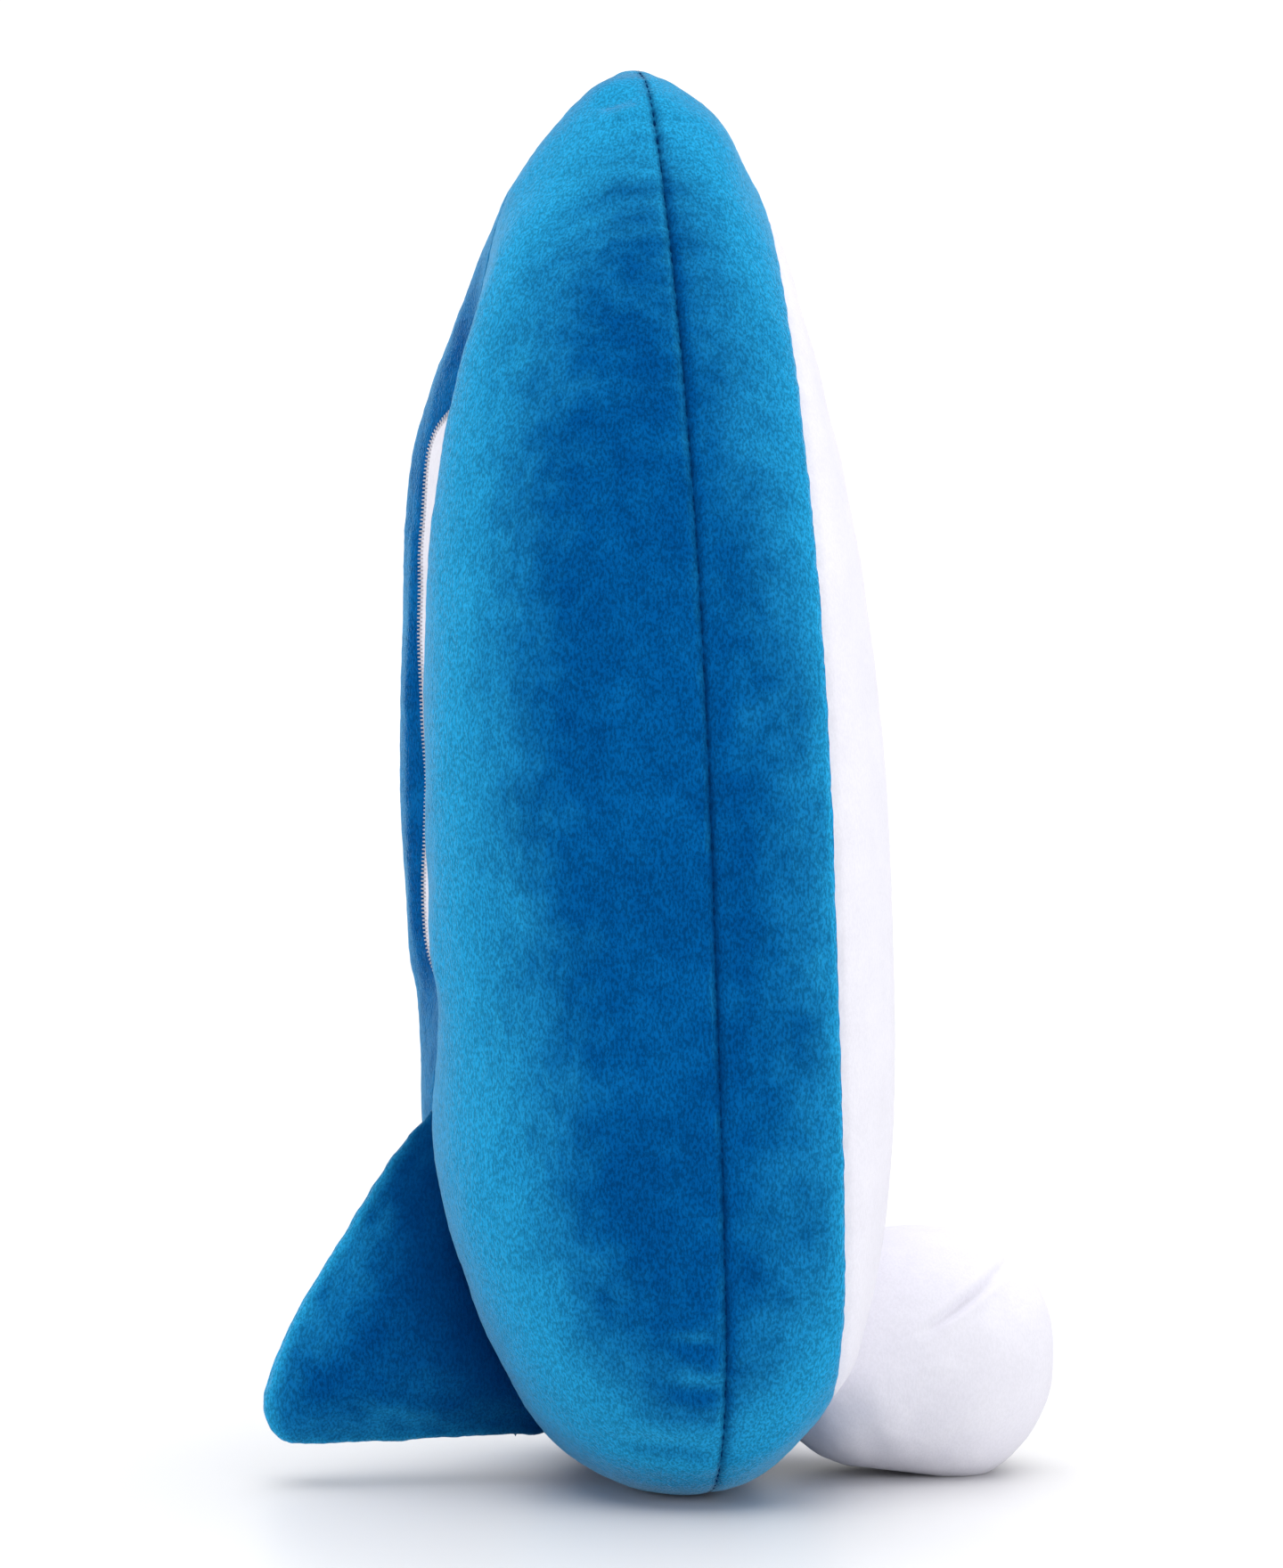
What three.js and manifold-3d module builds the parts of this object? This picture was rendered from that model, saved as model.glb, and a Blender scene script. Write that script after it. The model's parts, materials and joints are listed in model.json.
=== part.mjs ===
// Plush surfboard standing on its tail: a stuffed board sewn from a white deck, two blue rail bands and two
// blue bottom panels, with a stuffed fin in the bottom's centre seam and a stuffed foot at the deck's tail.
// Millimetres, +Z up from tail to nose, +X out of the deck, -X out of the bottom, Y across the board.
import * as THREE from 'three';
import { LoftGeometry } from 'three/addons/geometries/LoftGeometry.js';
import { mergeVertices } from 'three/addons/utils/BufferGeometryUtils.js';
import Module from 'manifold-3d';

// Board outline
const boardHeight = 357; // floor to nose tip
const boardWidth = 154; // across the widest place
const widestHeight = 165; // the widest place above the floor
const noseFullness = 0.42; // curve handles, as shares of the side that they run along
const shoulderFullness = 0.5;
const hipFullness = 0.9;
const tailFullness = 1.1;
const standFlat = 3.5; // how deep the soft tail is pressed flat on the floor

// Board thickness
const railBand = 31; // width of the rail bands
const railBulge = 2.5; // how far a band swells between its two seams
const railEndBulge = 6.5; // the same over the nose and under the tail
const bottomDepth = 67.5; // bottom seam to the deepest place of the bottom
const bottomSquareness = 2.6; // roundness of the bottom's cross-section, 2 for an ellipse
const deepestHeight = 150; // where the bottom is deepest and the deck is highest
const bottomNoseTaper = 3.4; // how long the bottom stays deep towards the nose and the tail
const bottomTailTaper = 2.4;
const bottomNosePoint = 0.75; // how pointed its two ends are, 0.5 for an ellipse
const bottomTailPoint = 0.5;
const deckCrown = 21.5; // deck seam to the top of the deck
const deckNoseTaper = 2;
const deckTailTaper = 3;
const deckNoseSetback = 33; // how far the deck panel ends short of the nose and the tail
const deckTailSetback = 18;
const deckRimTuck = 0.7; // how far the deck seam follows an inset inwards along X, as a share of it
const noseRound = 46; // length of the rounded ends, past the straight centre line
const tailRound = 36;
const noseBlend = 0.75; // share of the taper that the rounded ends take
const tailBlend = 0.5;
const seamAtMid = 1; // the bottom seam, in front of the middle of the part
const leanBack = 12; // how far the nose leans behind the tail

// Valley along the bottom's centre seam
const valleyDepth = 8.5;
const valleyHalfWidth = 20;
const valleyTop = 336; // heights between which it fades in and out
const valleyTopFade = 50;
const valleyBottom = 88;
const valleyBottomFade = 46;

// Cloth, seams and clearances
const cloth = 2.4; // thickness of the plush
const seamDip = 1.5; // how far a panel's edge is drawn in at a seam
const seamGap = 0.3; // between two sewn edges
const layerGap = 0.3; // between pieces that lie on each other
const fillGap = 0.8; // between the cloth and its fill
const threadDiameter = 0.8;

// Patch on the bottom
const patchWidth = 28;
const patchBottom = 122;
const patchTop = 272;
const patchThickness = 1.4;
const patchBorder = 2.4; // width of its satin stitching

// Fin
const finRootTop = 92; // heights where the fin leaves the bottom
const finRootBottom = 12;
const finReach = 101; // fin tip from the middle of the part
const finClearance = 8; // lower edge above the floor
const finTipRise = 10; // tip above the lower edge
const finTipRound = 12;
const finBow = 5.5; // how far the leading edge bows out
const finThickness = 27;
const finRootShare = 0.5; // thickness where it is sewn in, as a share of the thickest
const finFlex = 30; // degrees that the fin flops to either side
const finSink = 14; // how far its blank runs into the board before it is cut

// Foot
const footReach = 102; // foot tip from the middle of the part
const footDiameter = 66.5;
const footLength = 72;
const footRoundness = 2.3; // 2 for an ellipse
const footFlat = 3; // how deep the foot is pressed flat on the floor
const footStitch = 1.1; // size of the sewn ring round its root

// Steps of the curved forms
const outlineSteps = 28;
const deckSteps = 5;
const bottomSteps = 8;
const bottomRoll = 0.96; // where the bottom starts to roll into its seam, as a share of its quarter turn
const bandRows = [0, 0.17, 0.5, 0.83, 1];
const bandCoreRows = [0, 0.5, 1];
const finSteps = 9;
const finRows = [0, 0.12, 0.3, 0.5, 0.7, 0.88, 1];
const flexSteps = 4; // from rest to either side
const footSteps = 12;
const footTurnSteps = 10;
const threadSides = 5;

const wasm = await Module();
wasm.setup();
const { lerp, smoothstep, degToRad } = THREE.MathUtils;
const part = new THREE.Group();

const bluePlush = new THREE.MeshStandardMaterial({ color: 0x0a66b0, roughness: 0.95, metalness: 0 });
const whitePlush = new THREE.MeshStandardMaterial({ color: 0xf2f1fa, roughness: 0.95, metalness: 0 });
const fill = new THREE.MeshStandardMaterial({ color: 0xeeeeea, roughness: 1, metalness: 0 });
const blueThread = new THREE.MeshStandardMaterial({ color: 0x08488c, roughness: 0.7, metalness: 0 });
const whiteThread = new THREE.MeshStandardMaterial({ color: 0xe8e7f0, roughness: 0.7, metalness: 0 });

// Closed forms

const bothCapped = { capStart: true, capEnd: true };

// The direction in which a section's outline turns counterclockwise.
function turnOf(section) {
  const turn = new THREE.Vector3();
  section.forEach((point, k) => {
    turn.add(new THREE.Vector3().crossVectors(point, section[(k + 1) % section.length]));
  });
  return turn;
}

function centreOf(section) {
  const sum = new THREE.Vector3();
  section.forEach((point) => sum.add(point));
  return sum.divideScalar(section.length);
}

// A skin through closed sections, with its faces pointing out and its doubled points merged. An end that
// draws together in a point or an edge is closed by that, and any other end gets a cap.
function loft(sections, { capStart = false, capEnd = false } = {}) {
  const middle = Math.floor(sections.length / 2);
  const ahead = centreOf(sections[middle]).sub(centreOf(sections[middle - 1]));
  const wound = turnOf(sections[middle]).dot(ahead) < 0 ? sections.map((s) => [...s].reverse()) : sections;
  const skin = new LoftGeometry(wound, { capStart, capEnd });
  const geometry = new THREE.BufferGeometry();
  geometry.setAttribute('position', skin.getAttribute('position'));
  const merged = mergeVertices(geometry.setIndex(skin.index), 1e-3);
  const corners = merged.index.array;
  const kept = [];
  for (let k = 0; k < corners.length; k += 3) {
    const [a, b, c] = corners.slice(k, k + 3);
    if (a !== b && b !== c && c !== a) kept.push(a, b, c);
  }
  return merged.setIndex(kept);
}

// A round thread through a row of points.
function thread(points) {
  const radius = threadDiameter / 2;
  const sections = points.map((point, k) => {
    const before = points[Math.max(k - 1, 0)];
    const after = points[Math.min(k + 1, points.length - 1)];
    const along = after.clone().sub(before).normalize();
    const across = new THREE.Vector3(0.31, 0.9, 0.3).cross(along).normalize();
    const out = new THREE.Vector3().crossVectors(along, across);
    return Array.from({ length: threadSides }, (_, n) => {
      const angle = (2 * Math.PI * n) / threadSides;
      const sideways = across.clone().multiplyScalar(radius * Math.cos(angle));
      return point.clone().add(sideways).addScaledVector(out, radius * Math.sin(angle));
    });
  });
  return loft(sections, bothCapped);
}

function solidOf(geometry) {
  const source = geometry.clone();
  ['normal', 'uv'].forEach((name) => source.deleteAttribute(name));
  const merged = mergeVertices(source, 1e-3);
  return new wasm.Manifold(new wasm.Mesh({
    numProp: 3,
    vertProperties: new Float32Array(merged.attributes.position.array),
    triVerts: new Uint32Array(merged.index.array),
  }));
}

function geometryOf(solid) {
  const mesh = solid.getMesh();
  const geometry = new THREE.BufferGeometry();
  geometry.setAttribute('position', new THREE.BufferAttribute(mesh.vertProperties, 3));
  return geometry.setIndex(new THREE.BufferAttribute(mesh.triVerts, 1));
}

function addPiece(name, geometry, material) {
  const mesh = new THREE.Mesh(geometry, material);
  mesh.name = name;
  part.add(mesh);
  return mesh;
}

// The same piece on both sides of the middle: the left one is the mirror of the right one.
function addPair(name, geometry, material) {
  addPiece(`${name}_right`, geometry, material);
  addPiece(`${name}_left`, geometry, material).scale.y = -1;
}

// Board surface. An inset moves it inwards, so the layers of the board lie in each other.

const seamX = (z) => seamAtMid + leanBack * (0.5 - z / boardHeight);
const deckSeamX = (z) => seamX(z) + railBand;
const spineHeight = (z) => lerp(tailRound, boardHeight - noseRound, z / boardHeight);
const floorAt = (inset) => Math.max(inset, 0);

// Half of a panel's outline from the nose to the tail, as distance from the middle and height.
function halfOutline(top, bottom, half) {
  const path = new THREE.Path();
  path.moveTo(0, top);
  const shoulder = widestHeight + shoulderFullness * (top - widestHeight);
  path.bezierCurveTo(noseFullness * half, top, half, shoulder, half, widestHeight);
  const hip = widestHeight - hipFullness * (widestHeight - bottom);
  path.bezierCurveTo(half, hip, tailFullness * half, bottom, 0, bottom);
  return path.getSpacedPoints(outlineSteps);
}

const outlines = new Map();
function outlinesAt(inset) {
  if (!outlines.has(inset)) {
    const half = boardWidth / 2 - inset;
    outlines.set(inset, {
      seam: halfOutline(boardHeight - inset, inset - standFlat, half),
      deck: halfOutline(boardHeight - deckNoseSetback - inset, deckTailSetback + inset, half),
    });
  }
  return outlines.get(inset);
}

// 1 at the deepest height, falling to 0 at the bottom and top ends.
function taper(z, bottom, top, tailPower, nosePower) {
  const end = z > deepestHeight ? top : bottom;
  const power = z > deepestHeight ? nosePower : tailPower;
  const reach = (z - deepestHeight) / (end - deepestHeight);
  return 1 - Math.min(reach, 1) ** power;
}

function valley(y, z) {
  const upper = 1 - smoothstep(z, valleyTop - valleyTopFade, valleyTop);
  const lower = smoothstep(z, valleyBottom, valleyBottom + valleyBottomFade);
  return valleyDepth * upper * lower * Math.exp(-((y / valleyHalfWidth) ** 2));
}

// How much of its depth the bottom keeps at a height, between the centre line's end and the rim.
function bottomEnds(spine, z) {
  const toNose = z > deepestHeight;
  const height = lerp(spine, z, toNose ? noseBlend : tailBlend);
  const kept = taper(height, -standFlat, boardHeight, bottomTailTaper, bottomNoseTaper);
  return kept ** (toNose ? bottomNosePoint : bottomTailPoint);
}

// Bottom panel: step counts along the outline, reach runs from 0 on the centre line to 1 at the seam.
function bottomPoint(step, reach, inset) {
  const rim = outlinesAt(inset).seam[step];
  const spine = spineHeight(rim.y);
  const z = lerp(spine, rim.y, reach);
  const y = rim.x * reach;
  const arch = Math.sqrt(Math.max(1 - reach ** bottomSquareness, 0));
  const depth = arch * (bottomDepth * bottomEnds(spine, z) - inset - valley(y, z));
  return new THREE.Vector3(seamX(z) - depth, y, Math.max(z, floorAt(inset)));
}

function deckPoint(step, reach, inset) {
  const rim = outlinesAt(inset).deck[step];
  const z = lerp(spineHeight(rim.y), rim.y, reach);
  const arch = Math.sqrt(Math.max(1 - reach ** 2, 0));
  const ends = taper(z, deckTailSetback, boardHeight - deckNoseSetback, deckTailTaper, deckNoseTaper);
  const crown = arch * (deckCrown * ends - inset) - (1 - arch) * deckRimTuck * inset;
  return new THREE.Vector3(deckSeamX(z) + crown, rim.x * reach, z);
}

// Rail band: rise runs from 0 at the bottom seam to 1 at the deck seam.
function railPoint(step, rise, inset) {
  const { seam, deck } = outlinesAt(inset);
  const low = new THREE.Vector3(seamX(seam[step].y), seam[step].x, seam[step].y);
  const highX = deckSeamX(deck[step].y) - deckRimTuck * inset;
  const high = new THREE.Vector3(highX, deck[step].x, deck[step].y);
  const point = low.clone().lerp(high, rise);
  const out = new THREE.Vector3(0, point.y, point.z - spineHeight(point.z)).normalize();
  point.addScaledVector(out, lerp(railBulge, railEndBulge, out.z ** 2) * Math.sin(Math.PI * rise));
  point.z = Math.max(point.z, floorAt(inset));
  return point;
}

const range = (count) => Array.from({ length: count + 1 }, (_, k) => k);
const outlineRange = range(outlineSteps);
const atEnd = (step) => step === 0 || step === outlineSteps;
const reversed = (points) => [...points].reverse();
const mirrored = (point) => new THREE.Vector3(point.x, -point.y, point.z);
const deckReaches = range(deckSteps).map((k) => Math.sin((Math.PI / 2) * (k / deckSteps)));
const bottomReaches = [...range(bottomSteps - 1).map((k) => k / bottomSteps), bottomRoll, 1]
  .map((share) => Math.sin((Math.PI / 2) * share));

// A half panel is moved out by half a seam, so that the two halves don't touch.
function movedOut(point, alongX) {
  return new THREE.Vector3(point.x + alongX, point.y + seamGap / 2, point.z);
}

function railBandForm() {
  const edges = new Map([[0, seamGap / 2], [1, -seamGap / 2]]);
  const edge = (rise) => edges.get(rise) ?? 0;
  return loft(outlineRange.map((step) => {
    const dip = (rise) => (atEnd(step) || rise === 0 || rise === 1 ? seamDip : 0);
    const outer = bandRows.map((rise) => movedOut(railPoint(step, rise, dip(rise)), edge(rise)));
    const inner = bandCoreRows.map((rise) => movedOut(railPoint(step, rise, cloth), edge(rise)));
    return [...outer, ...reversed(inner)];
  }), bothCapped);
}

function bottomPanelForm() {
  const edge = (reach) => (reach === 1 ? -seamGap / 2 : 0);
  return loft(outlineRange.map((step) => {
    const dip = (reach) => (atEnd(step) || reach === 0 || reach === 1 ? seamDip : 0);
    const outer = bottomReaches.map((reach) => movedOut(bottomPoint(step, reach, dip(reach)), edge(reach)));
    const inner = bottomReaches.map((reach) => movedOut(bottomPoint(step, reach, cloth), edge(reach)));
    return [...outer, ...reversed(inner)];
  }), bothCapped);
}

function deckPanelForm() {
  const row = (step, insetAt) => deckReaches.map((reach) => {
    const point = deckPoint(step, reach, insetAt(reach));
    if (reach === 1) point.x += seamGap / 2;
    return point;
  });
  const across = (half) => [...reversed(half).map(mirrored), ...half.slice(1)];
  return loft(outlineRange.map((step) => {
    const outer = across(row(step, (reach) => (reach === 1 ? seamDip : 0)));
    const inner = across(row(step, () => cloth));
    return [...outer, ...reversed(inner)];
  }));
}

// The whole board as one form at an inset.
function boardForm(inset, rows) {
  return loft(outlineRange.map((step) => {
    const deck = deckReaches.map((reach) => deckPoint(step, reach, inset));
    const band = reversed(rows).slice(1, -1).map((rise) => railPoint(step, rise, inset));
    const bottom = reversed(bottomReaches).map((reach) => bottomPoint(step, reach, inset));
    const half = [...deck, ...band, ...bottom];
    return [...half, ...reversed(half).slice(1, -1).map(mirrored)];
  }));
}

addPiece('deck_panel', deckPanelForm(), whitePlush);
addPair('rail_band', railBandForm(), bluePlush);
addPair('bottom_panel', bottomPanelForm(), bluePlush);
addPiece('board_stuffing', boardForm(cloth + fillGap, bandCoreRows), fill);

const boardClear = boardForm(-layerGap, bandRows);
const boardCut = solidOf(boardClear);

// Stitch lines, which lie in the drawn-in seams

const threadInset = seamDip - threadDiameter / 2 - layerGap - seamGap / 2;
const threadRow = (place) => outlineRange.map(place).map((point) => movedOut(point, 0));
addPair('bottom_seam_thread', thread(threadRow((step) => railPoint(step, 0, threadInset))), blueThread);
addPair('deck_seam_thread', thread(threadRow((step) => railPoint(step, 1, threadInset))), blueThread);

const clearOfSeam = (rows) => rows.slice(1, -1);
const noseRun = clearOfSeam(reversed(bottomReaches)).map((reach) => bottomPoint(0, reach, threadInset));
const middleRun = outlineRange.map((step) => bottomPoint(step, 0, threadInset));
const tailRun = clearOfSeam(bottomReaches).map((reach) => bottomPoint(outlineSteps, reach, threadInset));
addPiece('centre_seam_thread', thread([...noseRun, ...middleRun, ...tailRun]), blueThread);
const joinRun = (step) => clearOfSeam(bandRows).map((rise) => railPoint(step, rise, threadInset));
addPiece('nose_join_thread', thread(joinRun(0)), blueThread);
addPiece('tail_join_thread', thread(joinRun(outlineSteps)), blueThread);

// Patch on the bottom: a strip with round ends that follows the panels

function patchBlank(grow) {
  const radius = patchWidth / 2 + grow;
  const shape = new THREE.Shape();
  shape.absarc(0, patchTop - patchWidth / 2, radius, 0, Math.PI, false);
  shape.absarc(0, patchBottom + patchWidth / 2, radius, Math.PI, 2 * Math.PI, false);
  const depth = 2 * bottomDepth;
  const blank = new THREE.ExtrudeGeometry(shape, { depth, bevelEnabled: false, curveSegments: 10 });
  const turned = new THREE.Matrix4().makeBasis(
    new THREE.Vector3(0, 1, 0), new THREE.Vector3(0, 0, 1), new THREE.Vector3(1, 0, 0));
  return solidOf(blank.applyMatrix4(turned.setPosition(seamAtMid - depth, 0, 0)));
}

const patchLayer = (thickness) => solidOf(boardForm(-layerGap - thickness, bandRows)).subtract(boardCut);
const patch = patchBlank(0).intersect(patchLayer(patchThickness));
const patchEdge = patchBlank(layerGap + patchBorder).subtract(patchBlank(layerGap));
addPiece('bottom_patch', geometryOf(patch), whitePlush);
const stitching = patchEdge.intersect(patchLayer(patchThickness + layerGap));
addPiece('patch_stitching', geometryOf(stitching), whiteThread);

// Fin

// The bottom's centre line at a height.
function keelX(z) {
  const reach = Math.max((tailRound - z) / (tailRound + standFlat), 0);
  const spine = Math.max(z, tailRound);
  const arch = Math.sqrt(Math.max(1 - reach ** bottomSquareness, 0));
  return seamX(z) - arch * (bottomDepth * bottomEnds(spine, z) - valley(0, z));
}

const rootTop = new THREE.Vector2(keelX(finRootTop), finRootTop);
const rootBottom = new THREE.Vector2(keelX(finRootBottom), finRootBottom);
const finTip = new THREE.Vector2(-finReach, finClearance + finTipRise);

// Leading edge from the root to the tip, and trailing edge from the root round to the same tip.
function finEdges() {
  const chord = finTip.clone().sub(rootTop);
  const bowOut = new THREE.Vector2(chord.y, -chord.x).normalize().multiplyScalar(2 * finBow);
  const pull = rootTop.clone().add(finTip).multiplyScalar(0.5).add(bowOut);
  const intoBoard = rootTop.clone().sub(pull).normalize().multiplyScalar(finSink);
  const leading = new THREE.Path();
  leading.moveTo(rootTop.x + intoBoard.x, rootTop.y + intoBoard.y);
  leading.lineTo(rootTop.x, rootTop.y);
  leading.quadraticCurveTo(pull.x, pull.y, finTip.x, finTip.y);
  const trailing = new THREE.Path();
  trailing.moveTo(rootBottom.x + finSink, finRootBottom);
  trailing.lineTo(finTipRound - finReach, finClearance);
  trailing.quadraticCurveTo(-finReach, finClearance, finTip.x, finTip.y);
  return { leading: leading.getSpacedPoints(finSteps), trailing: trailing.getSpacedPoints(finSteps) };
}

const { leading: leadingEdge, trailing: trailingEdge } = finEdges();

// Half of the fin's fill at a place: step counts from root to tip, share runs from leading to trailing edge.
function finFill(step, share) {
  const span = step / finSteps;
  const swell = lerp(finRootShare, 1, smoothstep(span, 0, 0.4)) * Math.sqrt(1 - span ** 2);
  return (finThickness / 2 - cloth) * swell * Math.sin(Math.PI * share) ** 0.6;
}

function finPoint(step, share, y) {
  const place = leadingEdge[step].clone().lerp(trailingEdge[step], share);
  return new THREE.Vector3(place.x, y, place.y);
}

function finPanelForm() {
  const onEdge = (share) => share === 0 || share === 1;
  return loft(range(finSteps).map((step) => {
    const outer = finRows.map((share) => {
      const wall = onEdge(share) || step === finSteps ? cloth / 2 : cloth;
      return finPoint(step, share, finFill(step, share) + wall);
    });
    const inner = finRows.map((share) => finPoint(step, share, finFill(step, share) + seamGap / 2));
    return [...outer, ...reversed(inner)];
  }), { capStart: true });
}

function finFillForm() {
  return loft(range(finSteps - 2).map((step) => {
    const side = clearOfSeam(finRows).map((share) => finPoint(step, share, finFill(step, share) - layerGap));
    return [...side, ...reversed(side).map(mirrored)];
  }), bothCapped);
}

// The hinge runs along the root, just outside the fullest place of the bottom's centre line.
const rootAlong = rootBottom.clone().sub(rootTop).normalize();
const rootOut = new THREE.Vector2(rootAlong.y, -rootAlong.x);
const rootRise = Math.max(...range(20).map((k) => {
  const z = lerp(finRootTop, finRootBottom, k / 20);
  return new THREE.Vector2(keelX(z), z).sub(rootTop).dot(rootOut);
}));
const hingePoint = rootTop.clone().addScaledVector(rootOut, rootRise + layerGap);
// The fin's joint turns about this line.
export const finHinge = {
  point: new THREE.Vector3(hingePoint.x, 0, hingePoint.y),
  axis: new THREE.Vector3(rootAlong.x, 0, rootAlong.y),
};

// The board, and the board as the fin meets it on its way to either side.
function finCut() {
  const toHinge = new THREE.Matrix4().makeTranslation(finHinge.point);
  const fromHinge = toHinge.clone().invert();
  let cut = boardCut;
  for (let k = -flexSteps; k <= flexSteps; k += 1) {
    const turn = new THREE.Matrix4().makeRotationAxis(finHinge.axis, degToRad((finFlex * k) / flexSteps));
    const turned = boardClear.clone().applyMatrix4(toHinge.clone().multiply(turn).multiply(fromHinge));
    cut = cut.add(solidOf(turned));
  }
  return cut;
}

const aroundFin = finCut();
const finPiece = (geometry) => geometryOf(solidOf(geometry).subtract(aroundFin));
addPair('fin_panel', finPiece(finPanelForm()), bluePlush);
addPiece('fin_stuffing', finPiece(finFillForm()), fill);

// The fin's stitch line runs just outside the edges of its two panels.
function finThreadRun() {
  const edge = [...leadingEdge, ...reversed(trailingEdge).slice(1)];
  return edge.map((point, k) => {
    const before = edge[Math.max(k - 1, 0)];
    const after = edge[Math.min(k + 1, edge.length - 1)];
    const along = after.clone().sub(before).normalize();
    const outwards = new THREE.Vector2(along.y, -along.x);
    const place = point.clone().addScaledVector(outwards, threadDiameter / 2 + layerGap);
    return new THREE.Vector3(place.x, 0, place.y);
  });
}

addPiece('fin_seam_thread', finPiece(thread(finThreadRun())), blueThread);

// Foot: a stuffed ball, longer along X, that the deck cuts into

const footCentre = footReach - footLength / 2;
const footHeight = footDiameter / 2 - footFlat;

// Turn runs from 0 at the top to half a turn at the bottom, sweep from the end in the board to the free end.
function footPoint(sweep, turn, inset) {
  const power = 2 / footRoundness;
  const along = Math.sign(Math.sin(sweep)) * Math.abs(Math.sin(sweep)) ** power;
  const radius = (footDiameter / 2 - inset) * Math.abs(Math.cos(sweep)) ** power;
  const x = footCentre + (footLength / 2 - inset) * along;
  const z = footHeight + radius * Math.cos(turn);
  return new THREE.Vector3(x, radius * Math.sin(turn), Math.max(z, floorAt(inset)));
}

const footSweeps = range(footSteps).map((k) => Math.PI * (k / footSteps - 0.5));
const footTurns = range(footTurnSteps).map((k) => (Math.PI * k) / footTurnSteps);

function footPanelForm() {
  return loft(footSweeps.map((sweep, n) => {
    const outer = footTurns.map((turn, k) => {
      const onSeam = k === 0 || k === footTurnSteps || n === 0 || n === footSteps;
      return movedOut(footPoint(sweep, turn, onSeam ? seamDip : 0), 0);
    });
    const inner = footTurns.map((turn) => movedOut(footPoint(sweep, turn, cloth), 0));
    return [...outer, ...reversed(inner)];
  }));
}

function footForm(inset) {
  return loft(footSweeps.map((sweep) => {
    const half = footTurns.map((turn) => footPoint(sweep, turn, inset));
    return [...half, ...reversed(half).slice(1, -1).map(mirrored)];
  }));
}

const footPiece = (geometry) => geometryOf(solidOf(geometry).subtract(boardCut));
addPair('foot_panel', footPiece(footPanelForm()), whitePlush);
addPiece('foot_stuffing', footPiece(footForm(cloth + fillGap)), fill);
const footTop = footSweeps.slice(1, -1).map((sweep) => footPoint(sweep, 0, threadInset));
const footSole = footSweeps.slice(1, -1).map((sweep) => footPoint(sweep, Math.PI, threadInset));
const footEnd = footPoint(footSweeps[footSteps], 0, threadInset);
addPiece('foot_seam_thread', footPiece(thread([...footTop, footEnd, ...reversed(footSole)])), whiteThread);

const footCollar = solidOf(footForm(-layerGap - footStitch)).subtract(solidOf(footForm(-layerGap)));
addPiece('foot_root_stitching', geometryOf(footCollar.intersect(patchLayer(footStitch))), whiteThread);

export default part;
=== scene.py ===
"""Plush surfboard standing on its tail: sewn cloth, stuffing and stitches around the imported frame.

The board, the fin and the foot each start from their solids. A form is remeshed, blown up as cloth
that its seams hold down, cut into its sewn panels along those seams, and then gets folds, pile and
stitches. Metres, +Z up from tail to nose, +X out of the deck, Y across with the left side at -Y.
"""

import json
import logging
import math
from collections.abc import Callable, Iterator, Sequence
from contextlib import contextmanager
from dataclasses import dataclass, field, replace
from enum import Enum

import bmesh
import bpy
import numpy as np
from mathutils import Matrix, Vector
from mathutils.bvhtree import BVHTree
from mathutils.kdtree import KDTree


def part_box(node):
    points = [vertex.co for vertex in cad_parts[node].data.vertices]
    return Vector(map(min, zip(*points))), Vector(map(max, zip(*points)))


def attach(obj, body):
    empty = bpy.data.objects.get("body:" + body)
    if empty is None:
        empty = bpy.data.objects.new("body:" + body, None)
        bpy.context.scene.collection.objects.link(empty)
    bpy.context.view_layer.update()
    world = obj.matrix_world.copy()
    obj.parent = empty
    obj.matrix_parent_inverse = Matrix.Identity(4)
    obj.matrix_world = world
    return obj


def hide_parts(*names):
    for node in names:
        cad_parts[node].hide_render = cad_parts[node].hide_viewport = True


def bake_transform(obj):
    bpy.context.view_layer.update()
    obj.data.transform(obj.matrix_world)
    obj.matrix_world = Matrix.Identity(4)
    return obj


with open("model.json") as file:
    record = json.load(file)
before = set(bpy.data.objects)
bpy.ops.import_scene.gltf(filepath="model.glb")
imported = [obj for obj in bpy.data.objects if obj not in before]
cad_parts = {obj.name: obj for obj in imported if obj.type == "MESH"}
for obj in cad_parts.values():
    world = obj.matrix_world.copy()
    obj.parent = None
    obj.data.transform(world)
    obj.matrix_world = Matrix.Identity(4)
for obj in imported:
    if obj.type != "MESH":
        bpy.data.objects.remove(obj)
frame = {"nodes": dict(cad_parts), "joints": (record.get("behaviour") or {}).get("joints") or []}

log = logging.getLogger("plush_surfboard")

Mesh = bpy.types.Mesh
Piece = bpy.types.Object
Socket = bpy.types.NodeSocket
Rows = np.ndarray
Colour = tuple[float, float, float]

MM = 0.001
ON_SEAM = 0.02 * MM
# Attribute of painted shade: in the creases of seams, and on the fin where it meets the board
CREASE_SHADE = "crease"
# Attribute of the pile's lean, which steers where the painted sheen shows
NAP = "nap"
OUT = np.array([1.0, 0.0, 0.0])
ACROSS = np.array([0.0, 1.0, 0.0])
UP = np.array([0.0, 0.0, 1.0])


class Slot(Enum):
    """The record's material slots."""

    BLUE_PLUSH = "blue_plush"
    WHITE_PLUSH = "white_plush"
    STUFFING = "stuffing"
    BLUE_THREAD = "blue_thread"
    WHITE_THREAD = "white_thread"


class Side(Enum):
    """The two halves of the toy, as the sign of Y."""

    LEFT = -1
    RIGHT = 1


# Meshes


def rows_of(items: bpy.types.bpy_prop_collection, value: str) -> Rows:
    """Reads a value of three numbers off each item of a mesh.

    Args:
        items: The mesh's points, normals or faces.
        value: The value's name.

    Returns:
        One row of three numbers for each item.
    """
    flat = np.empty(len(items) * 3, np.float32)
    items.foreach_get(value, flat)
    return flat.reshape(-1, 3).astype(float)


def points_of(mesh: Mesh) -> Rows:
    """Reads a mesh's points."""
    return rows_of(mesh.vertices, "co")


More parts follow.
